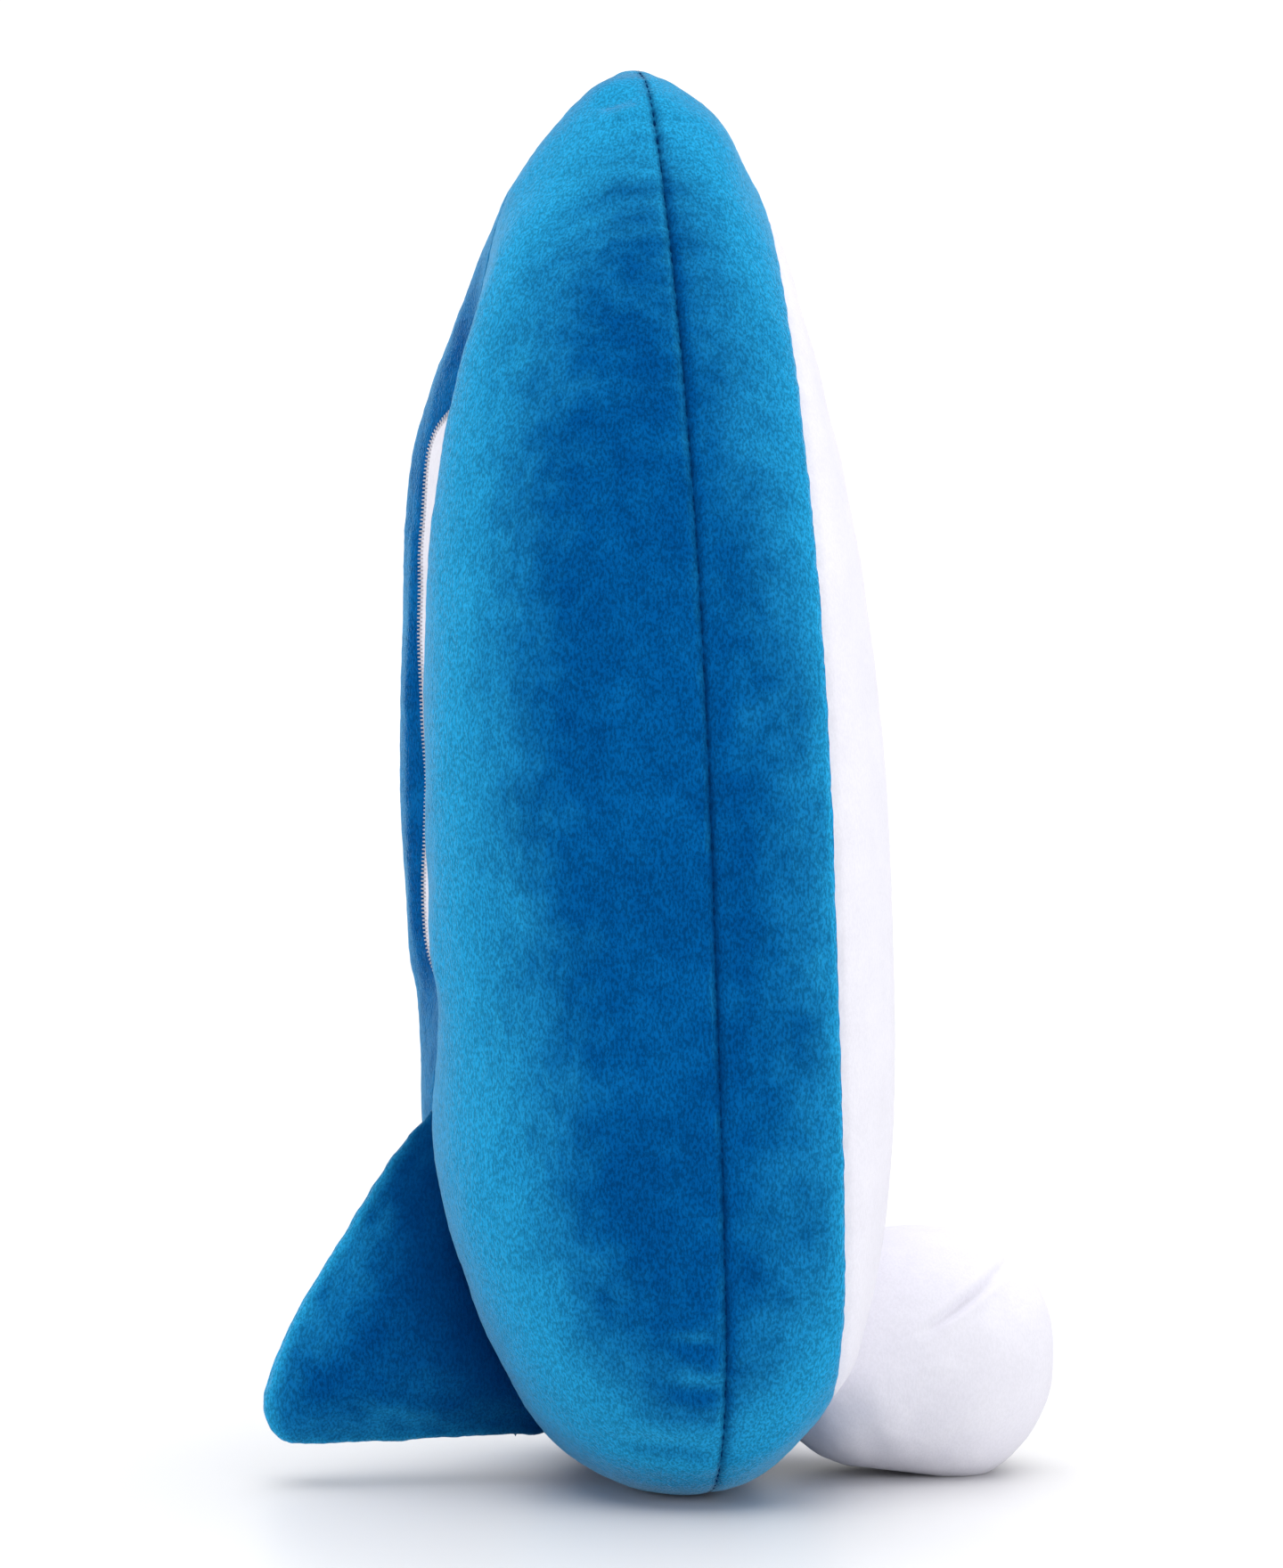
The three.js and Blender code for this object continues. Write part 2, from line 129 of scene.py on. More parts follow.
def normals_of(mesh: Mesh) -> Rows:
    """Reads the outward direction at each point of a mesh."""
    return rows_of(mesh.vertex_normals, "vector")


def face_centres(mesh: Mesh) -> Rows:
    """Reads the middle of each face of a mesh."""
    return rows_of(mesh.polygons, "center")


def move_points(mesh: Mesh, points: Rows) -> None:
    """Puts a mesh's points in new places."""
    mesh.vertices.foreach_set("co", points.astype(np.float32).ravel())
    mesh.update()


@contextmanager
def edited(mesh: Mesh) -> Iterator[bmesh.types.BMesh]:
    """Opens a mesh for changes and writes them back at the end.

    Args:
        mesh: The mesh to change.

    Yields:
        The mesh as a bmesh.
    """
    shape = bmesh.new()
    shape.from_mesh(mesh)
    yield shape
    shape.to_mesh(mesh)
    shape.free()


def new_object(name: str, mesh: Mesh) -> Piece:
    """Makes an object for a mesh and links it to the scene.

    Args:
        name: The object's name.
        mesh: Its mesh.

    Returns:
        The object, at the origin.
    """
    made = bpy.data.objects.new(name, mesh)
    bpy.context.scene.collection.objects.link(made)
    return made


def object_from(name: str, shape: bmesh.types.BMesh) -> Piece:
    """Turns a bmesh into an object with smooth faces, and frees it.

    Args:
        name: The name of the object and its mesh.
        shape: The bmesh to use up.

    Returns:
        The new object.
    """
    mesh = bpy.data.meshes.new(name)
    shape.to_mesh(mesh)
    shape.free()
    mesh.shade_smooth()
    return new_object(name, mesh)


def apply_modifiers(piece: Piece) -> None:
    """Replaces an object's mesh by what its modifiers make of it.

    Args:
        piece: The object, whose modifiers are used up.
    """
    graph = bpy.context.evaluated_depsgraph_get()
    made = bpy.data.meshes.new_from_object(piece.evaluated_get(graph))
    before = piece.data
    piece.modifiers.clear()
    piece.data = made
    bpy.data.meshes.remove(before)


def keep_largest(mesh: Mesh) -> None:
    """Removes every loose island of a mesh but the one with the most points.

    Args:
        mesh: The mesh to clean.
    """
    with edited(mesh) as shape:
        unseen = set(shape.verts)
        islands = []
        while unseen:
            island = {unseen.pop()}
            edge = list(island)
            while edge:
                around = {link.other_vert(vert) for vert in edge for link in vert.link_edges}
                edge = list(around - island)
                island |= around
            unseen -= island
            islands.append(island)
        largest = max(islands, key=len)
        stray = [vert for vert in shape.verts if vert not in largest]
        bmesh.ops.delete(shape, geom=stray, context="VERTS")


def drop_inner_faces(mesh: Mesh, step: float = 0.3 * MM, reach: float = 80 * MM) -> None:
    """Removes the faces of a hollow, which look at another face of the same mesh.

    Args:
        mesh: The mesh to clean, which is rounded outwards everywhere.
        step: How far in front of a face its view starts.
        reach: How far it goes.
    """
    with edited(mesh) as shape:
        shape.normal_update()
        tree = BVHTree.FromBMesh(shape)
        inner = []
        for face in shape.faces:
            start = face.calc_center_median() + face.normal * step
            if tree.ray_cast(start, face.normal, reach)[0] is not None:
                inner.append(face)
        bmesh.ops.delete(shape, geom=inner, context="FACES")


def gaps_to(surface: BVHTree, points: Rows) -> Rows:
    """Gives how far points lie from a surface."""
    return np.array([surface.find_nearest(Vector(point))[3] for point in points])


def press_on_floor(form: Piece) -> None:
    """Presses what reaches below the floor flat on it.

    Args:
        form: The form to change.
    """
    points = points_of(form.data)
    points[:, 2] = np.maximum(points[:, 2], 0)
    move_points(form.data, points)


def bell(distance: Rows, width: float) -> Rows:
    """Falls off from 1 at no distance, as a bell curve of that width does."""
    return np.exp(-((distance / width) ** 2))


def off_in_side_view(points: Rows, place: tuple[float, float]) -> Rows:
    """Gives how far points lie from a place, as seen from the side."""
    return np.linalg.norm(points[:, [0, 2]] - np.array(place), axis=1)


def smooth_step(values: Rows, low: float, high: float) -> Rows:
    """Rises smoothly from 0 at a low value to 1 at a high one."""
    share = np.clip((values - low) / (high - low), 0, 1)
    return share * share * (3 - 2 * share)


# Seams, folds and stitches


@dataclass(frozen=True)
class SeamPlane:
    """The flat surface in which a seam runs."""

    point: Rows
    normal: Rows

    @classmethod
    def through(cls, nodes: Sequence[str], towards: Sequence[float]) -> "SeamPlane":
        """Fits the plane to threads that run in it, facing the side of a direction."""
        fitted = cls.fitted(np.concatenate([points_of(frame["nodes"][name].data) for name in nodes]))
        return cls(fitted.point, fitted.normal * np.sign(fitted.normal @ np.array(towards)))

    @classmethod
    def fitted(cls, points: Rows) -> "SeamPlane":
        """Fits the plane to points by least squares, facing either way."""
        centre = points.mean(0)
        return cls(centre, np.linalg.svd(points - centre, full_matrices=False)[2][2])

    def height(self, points: Rows) -> Rows:
        """Gives how far points lie in front of the plane, as negative numbers behind it."""
        return (points - self.point) @ self.normal


MIDDLE = SeamPlane(np.zeros(3), ACROSS)


@dataclass
class SeamRun:
    """A seam as a row of points in sewing order."""

    points: Rows
    normals: Rows
    spacing: float = 1.0 * MM
    along: Rows = field(init=False)

    def __post_init__(self) -> None:
        """Spaces the points evenly, evens them out and measures the way along them."""
        steps = np.linalg.norm(np.diff(self.points, axis=0), axis=1)
        way = np.concatenate([[0], np.cumsum(steps)])
        count = max(int(way[-1] / self.spacing), 4)
        self.along = np.linspace(0, way[-1], count)
        self.points = self.even(self.spaced(way, self.points))
        self.normals = self.even(self.spaced(way, self.normals))
        self.normals /= np.linalg.norm(self.normals, axis=1, keepdims=True)

    def spaced(self, way: Rows, rows: Rows) -> Rows:
        """Reads rows off at the even spacing."""
        return np.stack([np.interp(self.along, way, rows[:, k]) for k in range(3)], 1)

    @staticmethod
    def even(rows: Rows, width: int = 3) -> Rows:
        """Averages each row with its neighbours, and keeps both ends where they are.

        Args:
            rows: The rows in order.
            width: How many neighbours count on each side.

        Returns:
            The averaged rows.
        """
        padded = np.concatenate([rows[:1].repeat(width, 0), rows, rows[-1:].repeat(width, 0)])
        window = 2 * width + 1
        return np.stack([padded[k : k + len(rows)] for k in range(window)]).mean(0)

    @classmethod
    def on(cls, mesh: Mesh, order: Rows) -> "SeamRun":
        """Reads a seam off a mesh by the numbers of its points in sewing order."""
        return cls(points_of(mesh)[order], normals_of(mesh)[order])

    def nearest(self, points: Rows, within: float) -> tuple[Rows, Rows]:
        """Finds the nearest place of the seam to each point.

        Args:
            points: The points to look from.
            within: How far to look. Points further off get this distance.

        Returns:
            The distance to the seam and the way along it, for each point.
        """
        tree = KDTree(len(self.points))
        for index, place in enumerate(self.points):
            tree.insert(place, index)
        tree.balance()
        flat = SeamPlane.fitted(self.points)
        distance = np.full(len(points), within)
        way = np.zeros(len(points))
        low = self.points.min(0) - within
        high = self.points.max(0) + within
        inside = ((points > low) & (points < high)).all(1) & (np.abs(flat.height(points)) < within)
        for index in np.flatnonzero(inside):
            _, nearest, gap = tree.find(points[index])
            if gap < within:
                distance[index] = gap
                way[index] = self.along[nearest]
        return distance, way


def sewing_order(
    points: Rows, on_seam: Rows, centre: Rows, first: Rows, second: Rows
) -> Rows:
    """Puts the points of a seam in order by their angle round a centre.

    Args:
        points: A form's points.
        on_seam: True for those on the seam.
        centre: The point that the seam goes round.
        first: The direction of angle zero.
        second: The direction of a quarter turn.

    Returns:
        The numbers of the seam's points, in order of their angle.
    """
    numbers = np.flatnonzero(on_seam)
    spread = points[numbers] - centre
    return numbers[np.argsort(np.arctan2(spread @ second, spread @ first))]


@dataclass(frozen=True)
class SeamDip:
    """How the cloth is drawn in at a seam."""

    crease: float = 0.9 * MM
    crease_width: float = 1.1 * MM
    roll: float = 0.5 * MM
    roll_width: float = 4.5 * MM
    pucker: float = 0.3 * MM
    pucker_width: float = 4.0 * MM
    uneven: float = 0.25
    pitches: tuple[float, float, float] = (8.3 * MM, 13.7 * MM, 29.0 * MM)
    phases: tuple[float, float, float] = (0.4, 1.9, 3.1)
    shares: tuple[float, float, float] = (0.45, 0.3, 0.25)
    within: float = 14 * MM

    def waves(self, way: Rows) -> Rows:
        """Gives the uneven pull of the stitches along a seam, from -1 to 1."""
        rows = zip(self.shares, self.pitches, self.phases)
        return np.sum([s * np.sin(2 * math.pi * way / p + f) for s, p, f in rows], 0)

    def sink(self, distance: Rows, way: Rows) -> Rows:
        """Gives how far the cloth sinks.

        Args:
            distance: The distance of each point from the seam.
            way: The way along the seam to its nearest place.

        Returns:
            The depth at each point.
        """
        wave = self.waves(way)
        crease = self.crease * (1 + self.uneven * wave) * bell(distance, self.crease_width)
        roll = self.roll * bell(distance, self.roll_width)
        beside = (distance / self.roll_width) * np.exp(-distance / self.pucker_width)
        return crease + roll + self.pucker * wave * beside


@dataclass(frozen=True)
class Fold:
    """A soft furrow in the cloth, placed as it is seen from the side."""

    start: tuple[float, float]
    end: tuple[float, float]
    depth: float
    width: float
    side: Side
    ridge: float = 0.35
    ridge_off: float = 2.0
    bluntness: float = 0.6
    end_share: float = 0.02

    def sink(self, points: Rows) -> Rows:
        """Gives how far the cloth sinks at each point.

        Args:
            points: The form's points.

        Returns:
            The depth, with a low ridge on both sides of the furrow.
        """
        begin = np.array(self.start)
        run = np.array(self.end) - begin
        seen = points[:, [0, 2]] - begin
        share = np.clip(seen @ run / (run @ run), 0, 1)
        off = np.linalg.norm(seen - share[:, None] * run, axis=1) / self.width
        profile = np.exp(-(off**2)) - self.ridge * np.exp(-((off - self.ridge_off) ** 2))
        fade = np.sin(math.pi * np.clip(share, self.end_share, 1 - self.end_share)) ** self.bluntness
        return np.where(points[:, 1] * self.side.value > 0, self.depth * fade * profile, 0)


@dataclass(frozen=True)
class Swell:
    """A place, as seen from the side, where the filling pushes the cloth out, or leaves it slack."""

    place: tuple[float, float]
    radius: float
    height: float
    side: Side | None = None
    from_middle: float = 8 * MM
    full_at: float = 24 * MM

    def rise(self, points: Rows) -> Rows:
        """Gives how far each point stands out.

        Args:
            points: The form's points.

        Returns:
            The height, as a negative number where the cloth is slack.
        """
        off = off_in_side_view(points, self.place)
        height = self.height * bell(off, self.radius)
        if self.side:
            height *= smooth_step(points[:, 1] * self.side.value, self.from_middle, self.full_at)
        return height


@dataclass(frozen=True)
class Pull:
    """A place, as seen from the side, where a seam draws the whole form over."""

    place: tuple[float, float]
    radius: float
    way: tuple[float, float]

    def shift(self, points: Rows) -> Rows:
        """Gives how far each point moves.

        Args:
            points: The form's points.

        Returns:
            The moves, along the plane of the side view.
        """
        off = off_in_side_view(points, self.place)
        share = bell(off, self.radius)[:, None]
        return share * (self.way[0] * OUT + self.way[1] * UP)


@dataclass(frozen=True)
class Valley:
    """The hollow down the middle of the bottom, between its two lobes."""

    depth: float = 5.0 * MM
    floor_half: float = 9.5 * MM
    rim_half: float = 21.5 * MM
    lower_end: float = 100 * MM
    lower_full: float = 175 * MM
    upper_full: float = 215 * MM
    upper_end: float = 345 * MM
    turn: float = -4 * MM
    straight_to: float = 180 * MM
    turned_from: float = 262 * MM

    def sink(self, points: Rows) -> Rows:
        """Gives how far the bottom sinks towards the deck at each point.

        Args:
            points: The form's points.

        Returns:
            The depth, which is zero on the deck's side.
        """
        middle = self.turn * smooth_step(points[:, 2], self.straight_to, self.turned_from)
        over = 1 - smooth_step(np.abs(points[:, 1] - middle), self.floor_half, self.rim_half)
        along = smooth_step(points[:, 2], self.lower_end, self.lower_full)
        along *= 1 - smooth_step(points[:, 2], self.upper_full, self.upper_end)
        return np.where(points[:, 0] < 0, self.depth * over * along, 0)


@dataclass(frozen=True)
class Stitching:
    """A row of short stitches of one thread."""

    pitch: float = 3.0 * MM
    length: float = 2.4 * MM
    radius: float = 0.34 * MM
    lift: float = 0.05 * MM
    across: bool = False
    sides: int = 6
    rings: int = 5

    def sew(self, name: str, run: SeamRun) -> Piece:
        """Lays the stitches along a seam.

        Args:
            name: The name of the new piece.
            run: The seam to follow.

        Returns:
            One object with all the stitches of the seam.
        """
        shape = bmesh.new()
        count = max(int(run.along[-1] / self.pitch), 1)
        for way in (np.arange(count) + 0.5) * run.along[-1] / count:
            index = int(np.clip(np.searchsorted(run.along, way), 1, len(run.along) - 2))
            forward = Vector(run.points[index + 1] - run.points[index - 1]).normalized()
            up = Vector(run.normals[index])
            beside = up.cross(forward).normalized()
            up = forward.cross(beside)
            lay = beside if self.across else forward
            turn = Matrix((lay, up.cross(lay), up)).transposed().to_4x4()
            place = Matrix.Translation(Vector(run.points[index]) + up * self.lift)
            size = Matrix.Diagonal((self.length / 2, self.radius, self.radius, 1))
            bmesh.ops.create_uvsphere(
                shape, u_segments=self.sides, v_segments=self.rings, radius=1, matrix=place @ turn @ size
            )
        return object_from(name, shape)


# Stuffed forms


@dataclass(frozen=True)
class Inflation:
    """How hard the stuffing pushes the cloth out between its seams."""

    pressure: float = 4.0
    frames: int = 20
    slack: float = 0.008
    reach: float = 1.6 * MM
    draw_in: float = 0.5 * MM
    evening: int = 12

    def blow_up(self, form: Piece, held: Rows) -> None:
        """Runs the cloth and keeps its last shape, with each move limited to the reach.

        Args:
            form: The form to change.
            held: True for each point that a seam holds down.
        """
        start = points_of(form.data)
        seams = form.vertex_groups.new(name="seams")
        seams.add(np.flatnonzero(held).tolist(), 1.0, "REPLACE")
        cloth = form.modifiers.new("cloth", "CLOTH")
        settings = cloth.settings
        settings.quality = 6
        settings.mass = 0.2
        settings.tension_stiffness = 12
        settings.compression_stiffness = 12
        settings.shear_stiffness = 5
        settings.bending_stiffness = 0.4
        settings.vertex_group_mass = seams.name
        settings.shrink_min = -self.slack
        settings.use_pressure = True
        settings.uniform_pressure_force = self.pressure
        settings.effector_weights.gravity = 0
        cloth.collision_settings.use_collision = False
        cloth.point_cache.frame_start = 1
        cloth.point_cache.frame_end = self.frames
        scene = bpy.context.scene
        for number in range(1, self.frames + 1):
            scene.frame_set(number)
        graph = bpy.context.evaluated_depsgraph_get()
        move = points_of(form.evaluated_get(graph).data) - start
        form.modifiers.remove(cloth)
        form.vertex_groups.remove(seams)
        scene.frame_set(1)
        normals = normals_of(form.data)
        out = (move * normals).sum(1)
        log.info("%s: cloth moved %.1f to %.1f mm outwards", form.name, out.min() / MM, out.max() / MM)
        move += (np.clip(out, -self.draw_in, self.reach) - out)[:, None] * normals
        length = np.linalg.norm(move, axis=1, keepdims=True)
        move *= np.minimum(1, self.reach / np.maximum(length, 1e-9))
        move_points(form.data, start + move)


@dataclass
class SewnRoot:
    """The end of a stuffed form that is sewn to the board and runs on under its surface."""

    surface: BVHTree
    inwards: Rows
    near: float = 2.5 * MM
    far: float = 12 * MM
    depth: float = 6 * MM
    slant: float = 0.0
    level_below: float = 40 * MM
    slant_above: float = 85 * MM

    def sunk(self, points: Rows) -> Rows:
        """Draws the points next to the board into it.

        Args:
            points: The form's points.

        Returns:
            The points, with those next to the board below its surface.
        """
        gaps = gaps_to(self.surface, points)
        share = 1 - smooth_step(gaps, self.near, self.far)
        rise = self.slant * smooth_step(points[:, 2], self.level_below, self.slant_above)
        way = self.inwards + rise[:, None] * UP
        return points + (share * (gaps + self.depth))[:, None] * way


# The pulls of one round of evening out: in and back out again, or only in
KEEPING_SIZE = (0.5, -0.52)
ROUNDING = (0.5,)


@dataclass
class StuffedForm:
    """A stuffed form from its solids to one fine mesh, before it is cut into panels."""

    name: str
    nodes: Sequence[str]
    grow: float
    inflation: Inflation
    root: SewnRoot | None = None
    voxel: float = 4.1 * MM
    smoothing: int = 30
    refinements: int = 2
    thicken: float = 0.0
    rounding: int = 0
    full_grow_from: float = 3 * MM
    weld: float = 0.01 * MM

    def blank(self) -> Piece:
        """Remeshes the solids to one closed skin.

        Returns:
            The form's object, evened out and grown to the size where the cloth starts.
        """
        shape = bmesh.new()
        for node in self.nodes:
            shape.from_mesh(frame["nodes"][node].data)
        bmesh.ops.remove_doubles(shape, verts=shape.verts[:], dist=self.weld)
        shape.normal_update()
        for vert in shape.verts:
            vert.co += vert.normal * self.thicken
        form = object_from(self.name, shape)
        remesh = form.modifiers.new("remesh", "REMESH")
        remesh.mode = "VOXEL"
        remesh.voxel_size = self.voxel
        apply_modifiers(form)
        keep_largest(form.data)
        self.relax(form.data, KEEPING_SIZE * self.smoothing + ROUNDING * self.rounding)
        if self.root:
            drop_inner_faces(form.data)
            keep_largest(form.data)
        points = points_of(form.data)
        shift = self.grow * normals_of(form.data)
        shift[:, 1] *= np.clip(np.abs(points[:, 1]) / self.full_grow_from, 0, 1)
        points += shift
        if self.root:
            points = self.root.sunk(points)
        move_points(form.data, points)
        return form

    @staticmethod
    def relax(mesh: Mesh, pulls: Sequence[float]) -> None:
        """Evens out a mesh by pulling each point towards the middle of its neighbours.

        Args:
            mesh: The mesh to change.
            pulls: How far it goes in each round, as a negative number to push away again.
        """
        ends = np.empty(len(mesh.edges) * 2, np.int32)
        mesh.edges.foreach_get("vertices", ends)
        ends = ends.reshape(-1, 2)
        points = points_of(mesh)
        count = np.bincount(ends.ravel(), minlength=len(points))[:, None]
        for factor in pulls:
            total = np.zeros_like(points)
            np.add.at(total, ends[:, 0], points[ends[:, 1]])
            np.add.at(total, ends[:, 1], points[ends[:, 0]])
            points += factor * (total / count - points)
        move_points(mesh, points)

    def build(self, held: Callable[[Rows], Rows]) -> Piece:
        """Makes the stuffed form.

        Args:
            held: Says which points the seams hold down.

        Returns:
            The form's object, fine enough for its seams and folds.
        """
        form = self.blank()
        self.inflation.blow_up(form, held(points_of(form.data)))
        self.relax(form.data, KEEPING_SIZE * self.inflation.evening)
        finer = form.modifiers.new("finer", "SUBSURF")
        finer.levels = self.refinements
        finer.render_levels = self.refinements
        apply_modifiers(form)
        log.info("%s: %d faces", self.name, len(form.data.polygons))
        return form

    def fill(self, name: str, node: str, slack: float) -> Piece:
        """Makes the stuffing under the cloth from its solid.

        Args:
            name: The name of the new piece.
            node: The stuffing's node.
            slack: How far it stays below the solid's surface.

        Returns:
            The stuffing's object.
        """
        core = replace(self, name=name, nodes=[node], grow=-slack).blank()
        core.data.shade_smooth()
        return core


def cut_along(
    form: Piece, planes: Sequence[SeamPlane], snap: float, weld: float = 0.001 * MM
) -> None:
    """Cuts a form's mesh along seam planes, with crowded points merged and near ones moved into a plane.

    Args:
        form: The form to change.
        planes: The planes of its seams.
        snap: How close a point has to be to move into a plane.
        weld: How close a point has to be to count as in it.
    """
    with edited(form.data) as shape:
        bmesh.ops.remove_doubles(shape, verts=shape.verts[:], dist=2 * snap)
        for plane in planes:
            normal = Vector(plane.normal)
            for vert in shape.verts:
                height = (vert.co - Vector(plane.point)).dot(normal)
                if abs(height) < snap:
                    vert.co -= normal * height
            everything = shape.verts[:] + shape.edges[:] + shape.faces[:]
            bmesh.ops.bisect_plane(
                shape, geom=everything, dist=weld, plane_co=plane.point, plane_no=plane.normal
            )


def split(form: Piece, panel: Rows, names: Sequence[str]) -> list[Piece]:
    """Splits a form into its panels and removes the form.

    Args:
        form: The form to use up.
        panel: The number of its panel for each face.
        names: The panels' names, in the order of their numbers.

    Returns:
        One object for each panel.
    """
    panels = []
    for number, name in enumerate(names):
        shape = bmesh.new()
        shape.from_mesh(form.data)
        shape.faces.ensure_lookup_table()
        others = [shape.faces[k] for k in np.flatnonzero(panel != number)]
        bmesh.ops.delete(shape, geom=others, context="FACES")
        panels.append(object_from(name, shape))
    bpy.data.objects.remove(form)
    return panels


# Finishes


class Graph:
    """A material's nodes, wired as they are added."""

    def __init__(self, name: str) -> None:
        """Starts an empty material.

        Args:
            name: The material's name.
        """
        self.material = bpy.data.materials.new(name)
        self.material.use_nodes = True
        self.tree = self.material.node_tree
        self.tree.nodes.clear()
        self.output = self.tree.nodes.new("ShaderNodeOutputMaterial")
        self.coordinates = self.tree.nodes.new("ShaderNodeTexCoord").outputs["Object"]

    def add(self, kind: str, inputs: dict, **settings: object) -> bpy.types.Node:
        """Adds a node.

        Args:
            kind: The node's type.
            inputs: Values and sockets for its inputs, by name or number.
            settings: The node's own settings.

        Returns:
            The node.
        """
        node = self.tree.nodes.new(kind)
        for name, value in settings.items():
            setattr(node, name, value)
        for name, value in inputs.items():
            if isinstance(value, Socket):
                self.tree.links.new(value, node.inputs[name])
            else:
                node.inputs[name].default_value = value
        return node

    def noise(
        self, scale: float, detail: float = 2, stretch: Sequence[float] = (1, 1, 1)
    ) -> Socket:
        """Adds noise.

        Args:
            scale: Its size in cycles per metre.
            detail: How fine its details go.
            stretch: How it is drawn out along each axis.

        Returns:
            The noise around one half.
        """
        mapping = self.add("ShaderNodeMapping", {"Vector": self.coordinates, "Scale": stretch})
        values = {"Vector": mapping.outputs[0], "Scale": scale, "Detail": detail, "Roughness": 0.6}
        return self.add("ShaderNodeTexNoise", values).outputs["Fac"]

    def mixed(self, parts: Sequence[tuple[Socket, float]]) -> Socket:
        """Adds up values, each times its share.

        Args:
            parts: The values and their shares.

        Returns:
            The sum.
        """
        total = None
        for value, share in parts:
            inputs = {0: value, 1: share, 2: 0.0 if total is None else total}
            total = self.add("ShaderNodeMath", inputs, operation="MULTIPLY_ADD").outputs[0]
        return total

    def ramp(
        self, value: Socket, stops: Sequence[tuple[float, Sequence[float]]]
    ) -> Socket:
        """Turns a value into a colour.

        Args:
            value: The value.
            stops: The places where colours are given, with these colours.

        Returns:
            The colour.
        """
        node = self.add("ShaderNodeValToRGB", {"Fac": value})
        elements = node.color_ramp.elements
        while len(elements) < len(stops):
            elements.new(1)
        for element, (place, colour) in zip(elements, stops):
            element.position = place
            element.color = (*colour, 1)
        return node.outputs["Color"]

    def blend(
        self, colour: Socket, other: Sequence[float], share: Socket
    ) -> Socket:
        """Turns a colour into another one by a share from 0 to 1."""
        inputs = {0: share, 6: colour, 7: (*other, 1)}
        return self.add("ShaderNodeMix", inputs, data_type="RGBA").outputs[2]

    def marked(self, attribute: str) -> Socket:
        """Reads an attribute of the mesh."""
        return self.add("ShaderNodeAttribute", {}, attribute_name=attribute).outputs["Fac"]

    def sheen_of_pile(
        self,
        uneven: Socket,
        most: float,
        span: tuple[float, float] = (0.32, 1.2),
        brushing: float = 0.5,
    ) -> Socket:
        """Gives the share of painted sheen in the base colour, more where fibres are seen from the side.

        Args:
            uneven: Noise of how unevenly the pile is brushed.
            most: The largest share.
            span: The values between which the share grows.
            brushing: How much the noise counts.

        Returns:
            The share.
        """
        normal = self.add("ShaderNodeNewGeometry", {}).outputs["Normal"]
        nap = self.add("ShaderNodeAttribute", {}, attribute_name=NAP).outputs["Vector"]
        lean = self.add("ShaderNodeVectorMath", {0: normal, 1: nap}, operation="ADD").outputs[0]
        fibre = self.add("ShaderNodeVectorMath", {0: lean}, operation="NORMALIZE").outputs[0]
        facing = self.add("ShaderNodeLayerWeight", {"Blend": 0.5, "Normal": fibre}).outputs["Facing"]
        value = self.mixed([(facing, 1.0), (uneven, brushing)])
        inputs = {"Value": value, "From Min": span[0], "From Max": span[1], "To Max": most}
        return self.add("ShaderNodeMapRange", inputs, interpolation_type="SMOOTHSTEP").outputs[0]

    def speckled(
        self,
        colour: Socket,
        grain: Socket,
        contrast: float,
        span: tuple[float, float] = (0.4, 0.6),
    ) -> Socket:
        """Darkens and lightens a colour by fine grain.

        Args:
            colour: The colour.
            grain: Noise around one half.
            contrast: How much darker and lighter it gets.
            span: The values of the noise where it is darkest and lightest.

        Returns:
            The speckled colour.
        """
        inputs = {"Value": grain, "From Min": span[0], "From Max": span[1]}
        ends = {"To Min": 1 - contrast, "To Max": 1 + contrast}
        factor = self.add("ShaderNodeMapRange", {**inputs, **ends}, clamp=True).outputs[0]
        settings = {"data_type": "RGBA", "blend_type": "MULTIPLY"}
        return self.add("ShaderNodeMix", {0: 1.0, 6: colour, 7: factor}, **settings).outputs[2]

    def bump(self, height: Socket, strength: float, distance: float) -> Socket:
        """Adds a bump of a height in metres."""
        inputs = {"Height": height, "Strength": strength, "Distance": distance}
        return self.add("ShaderNodeBump", inputs).outputs["Normal"]

    def shade(self, inputs: dict) -> bpy.types.Material:
        """Ends the material in one surface shader.

        Args:
            inputs: The shader's inputs.

        Returns:
            The material.
        """
        shader = self.add("ShaderNodeBsdfPrincipled", inputs)
        self.tree.links.new(shader.outputs[0], self.output.inputs["Surface"])
        return self.material


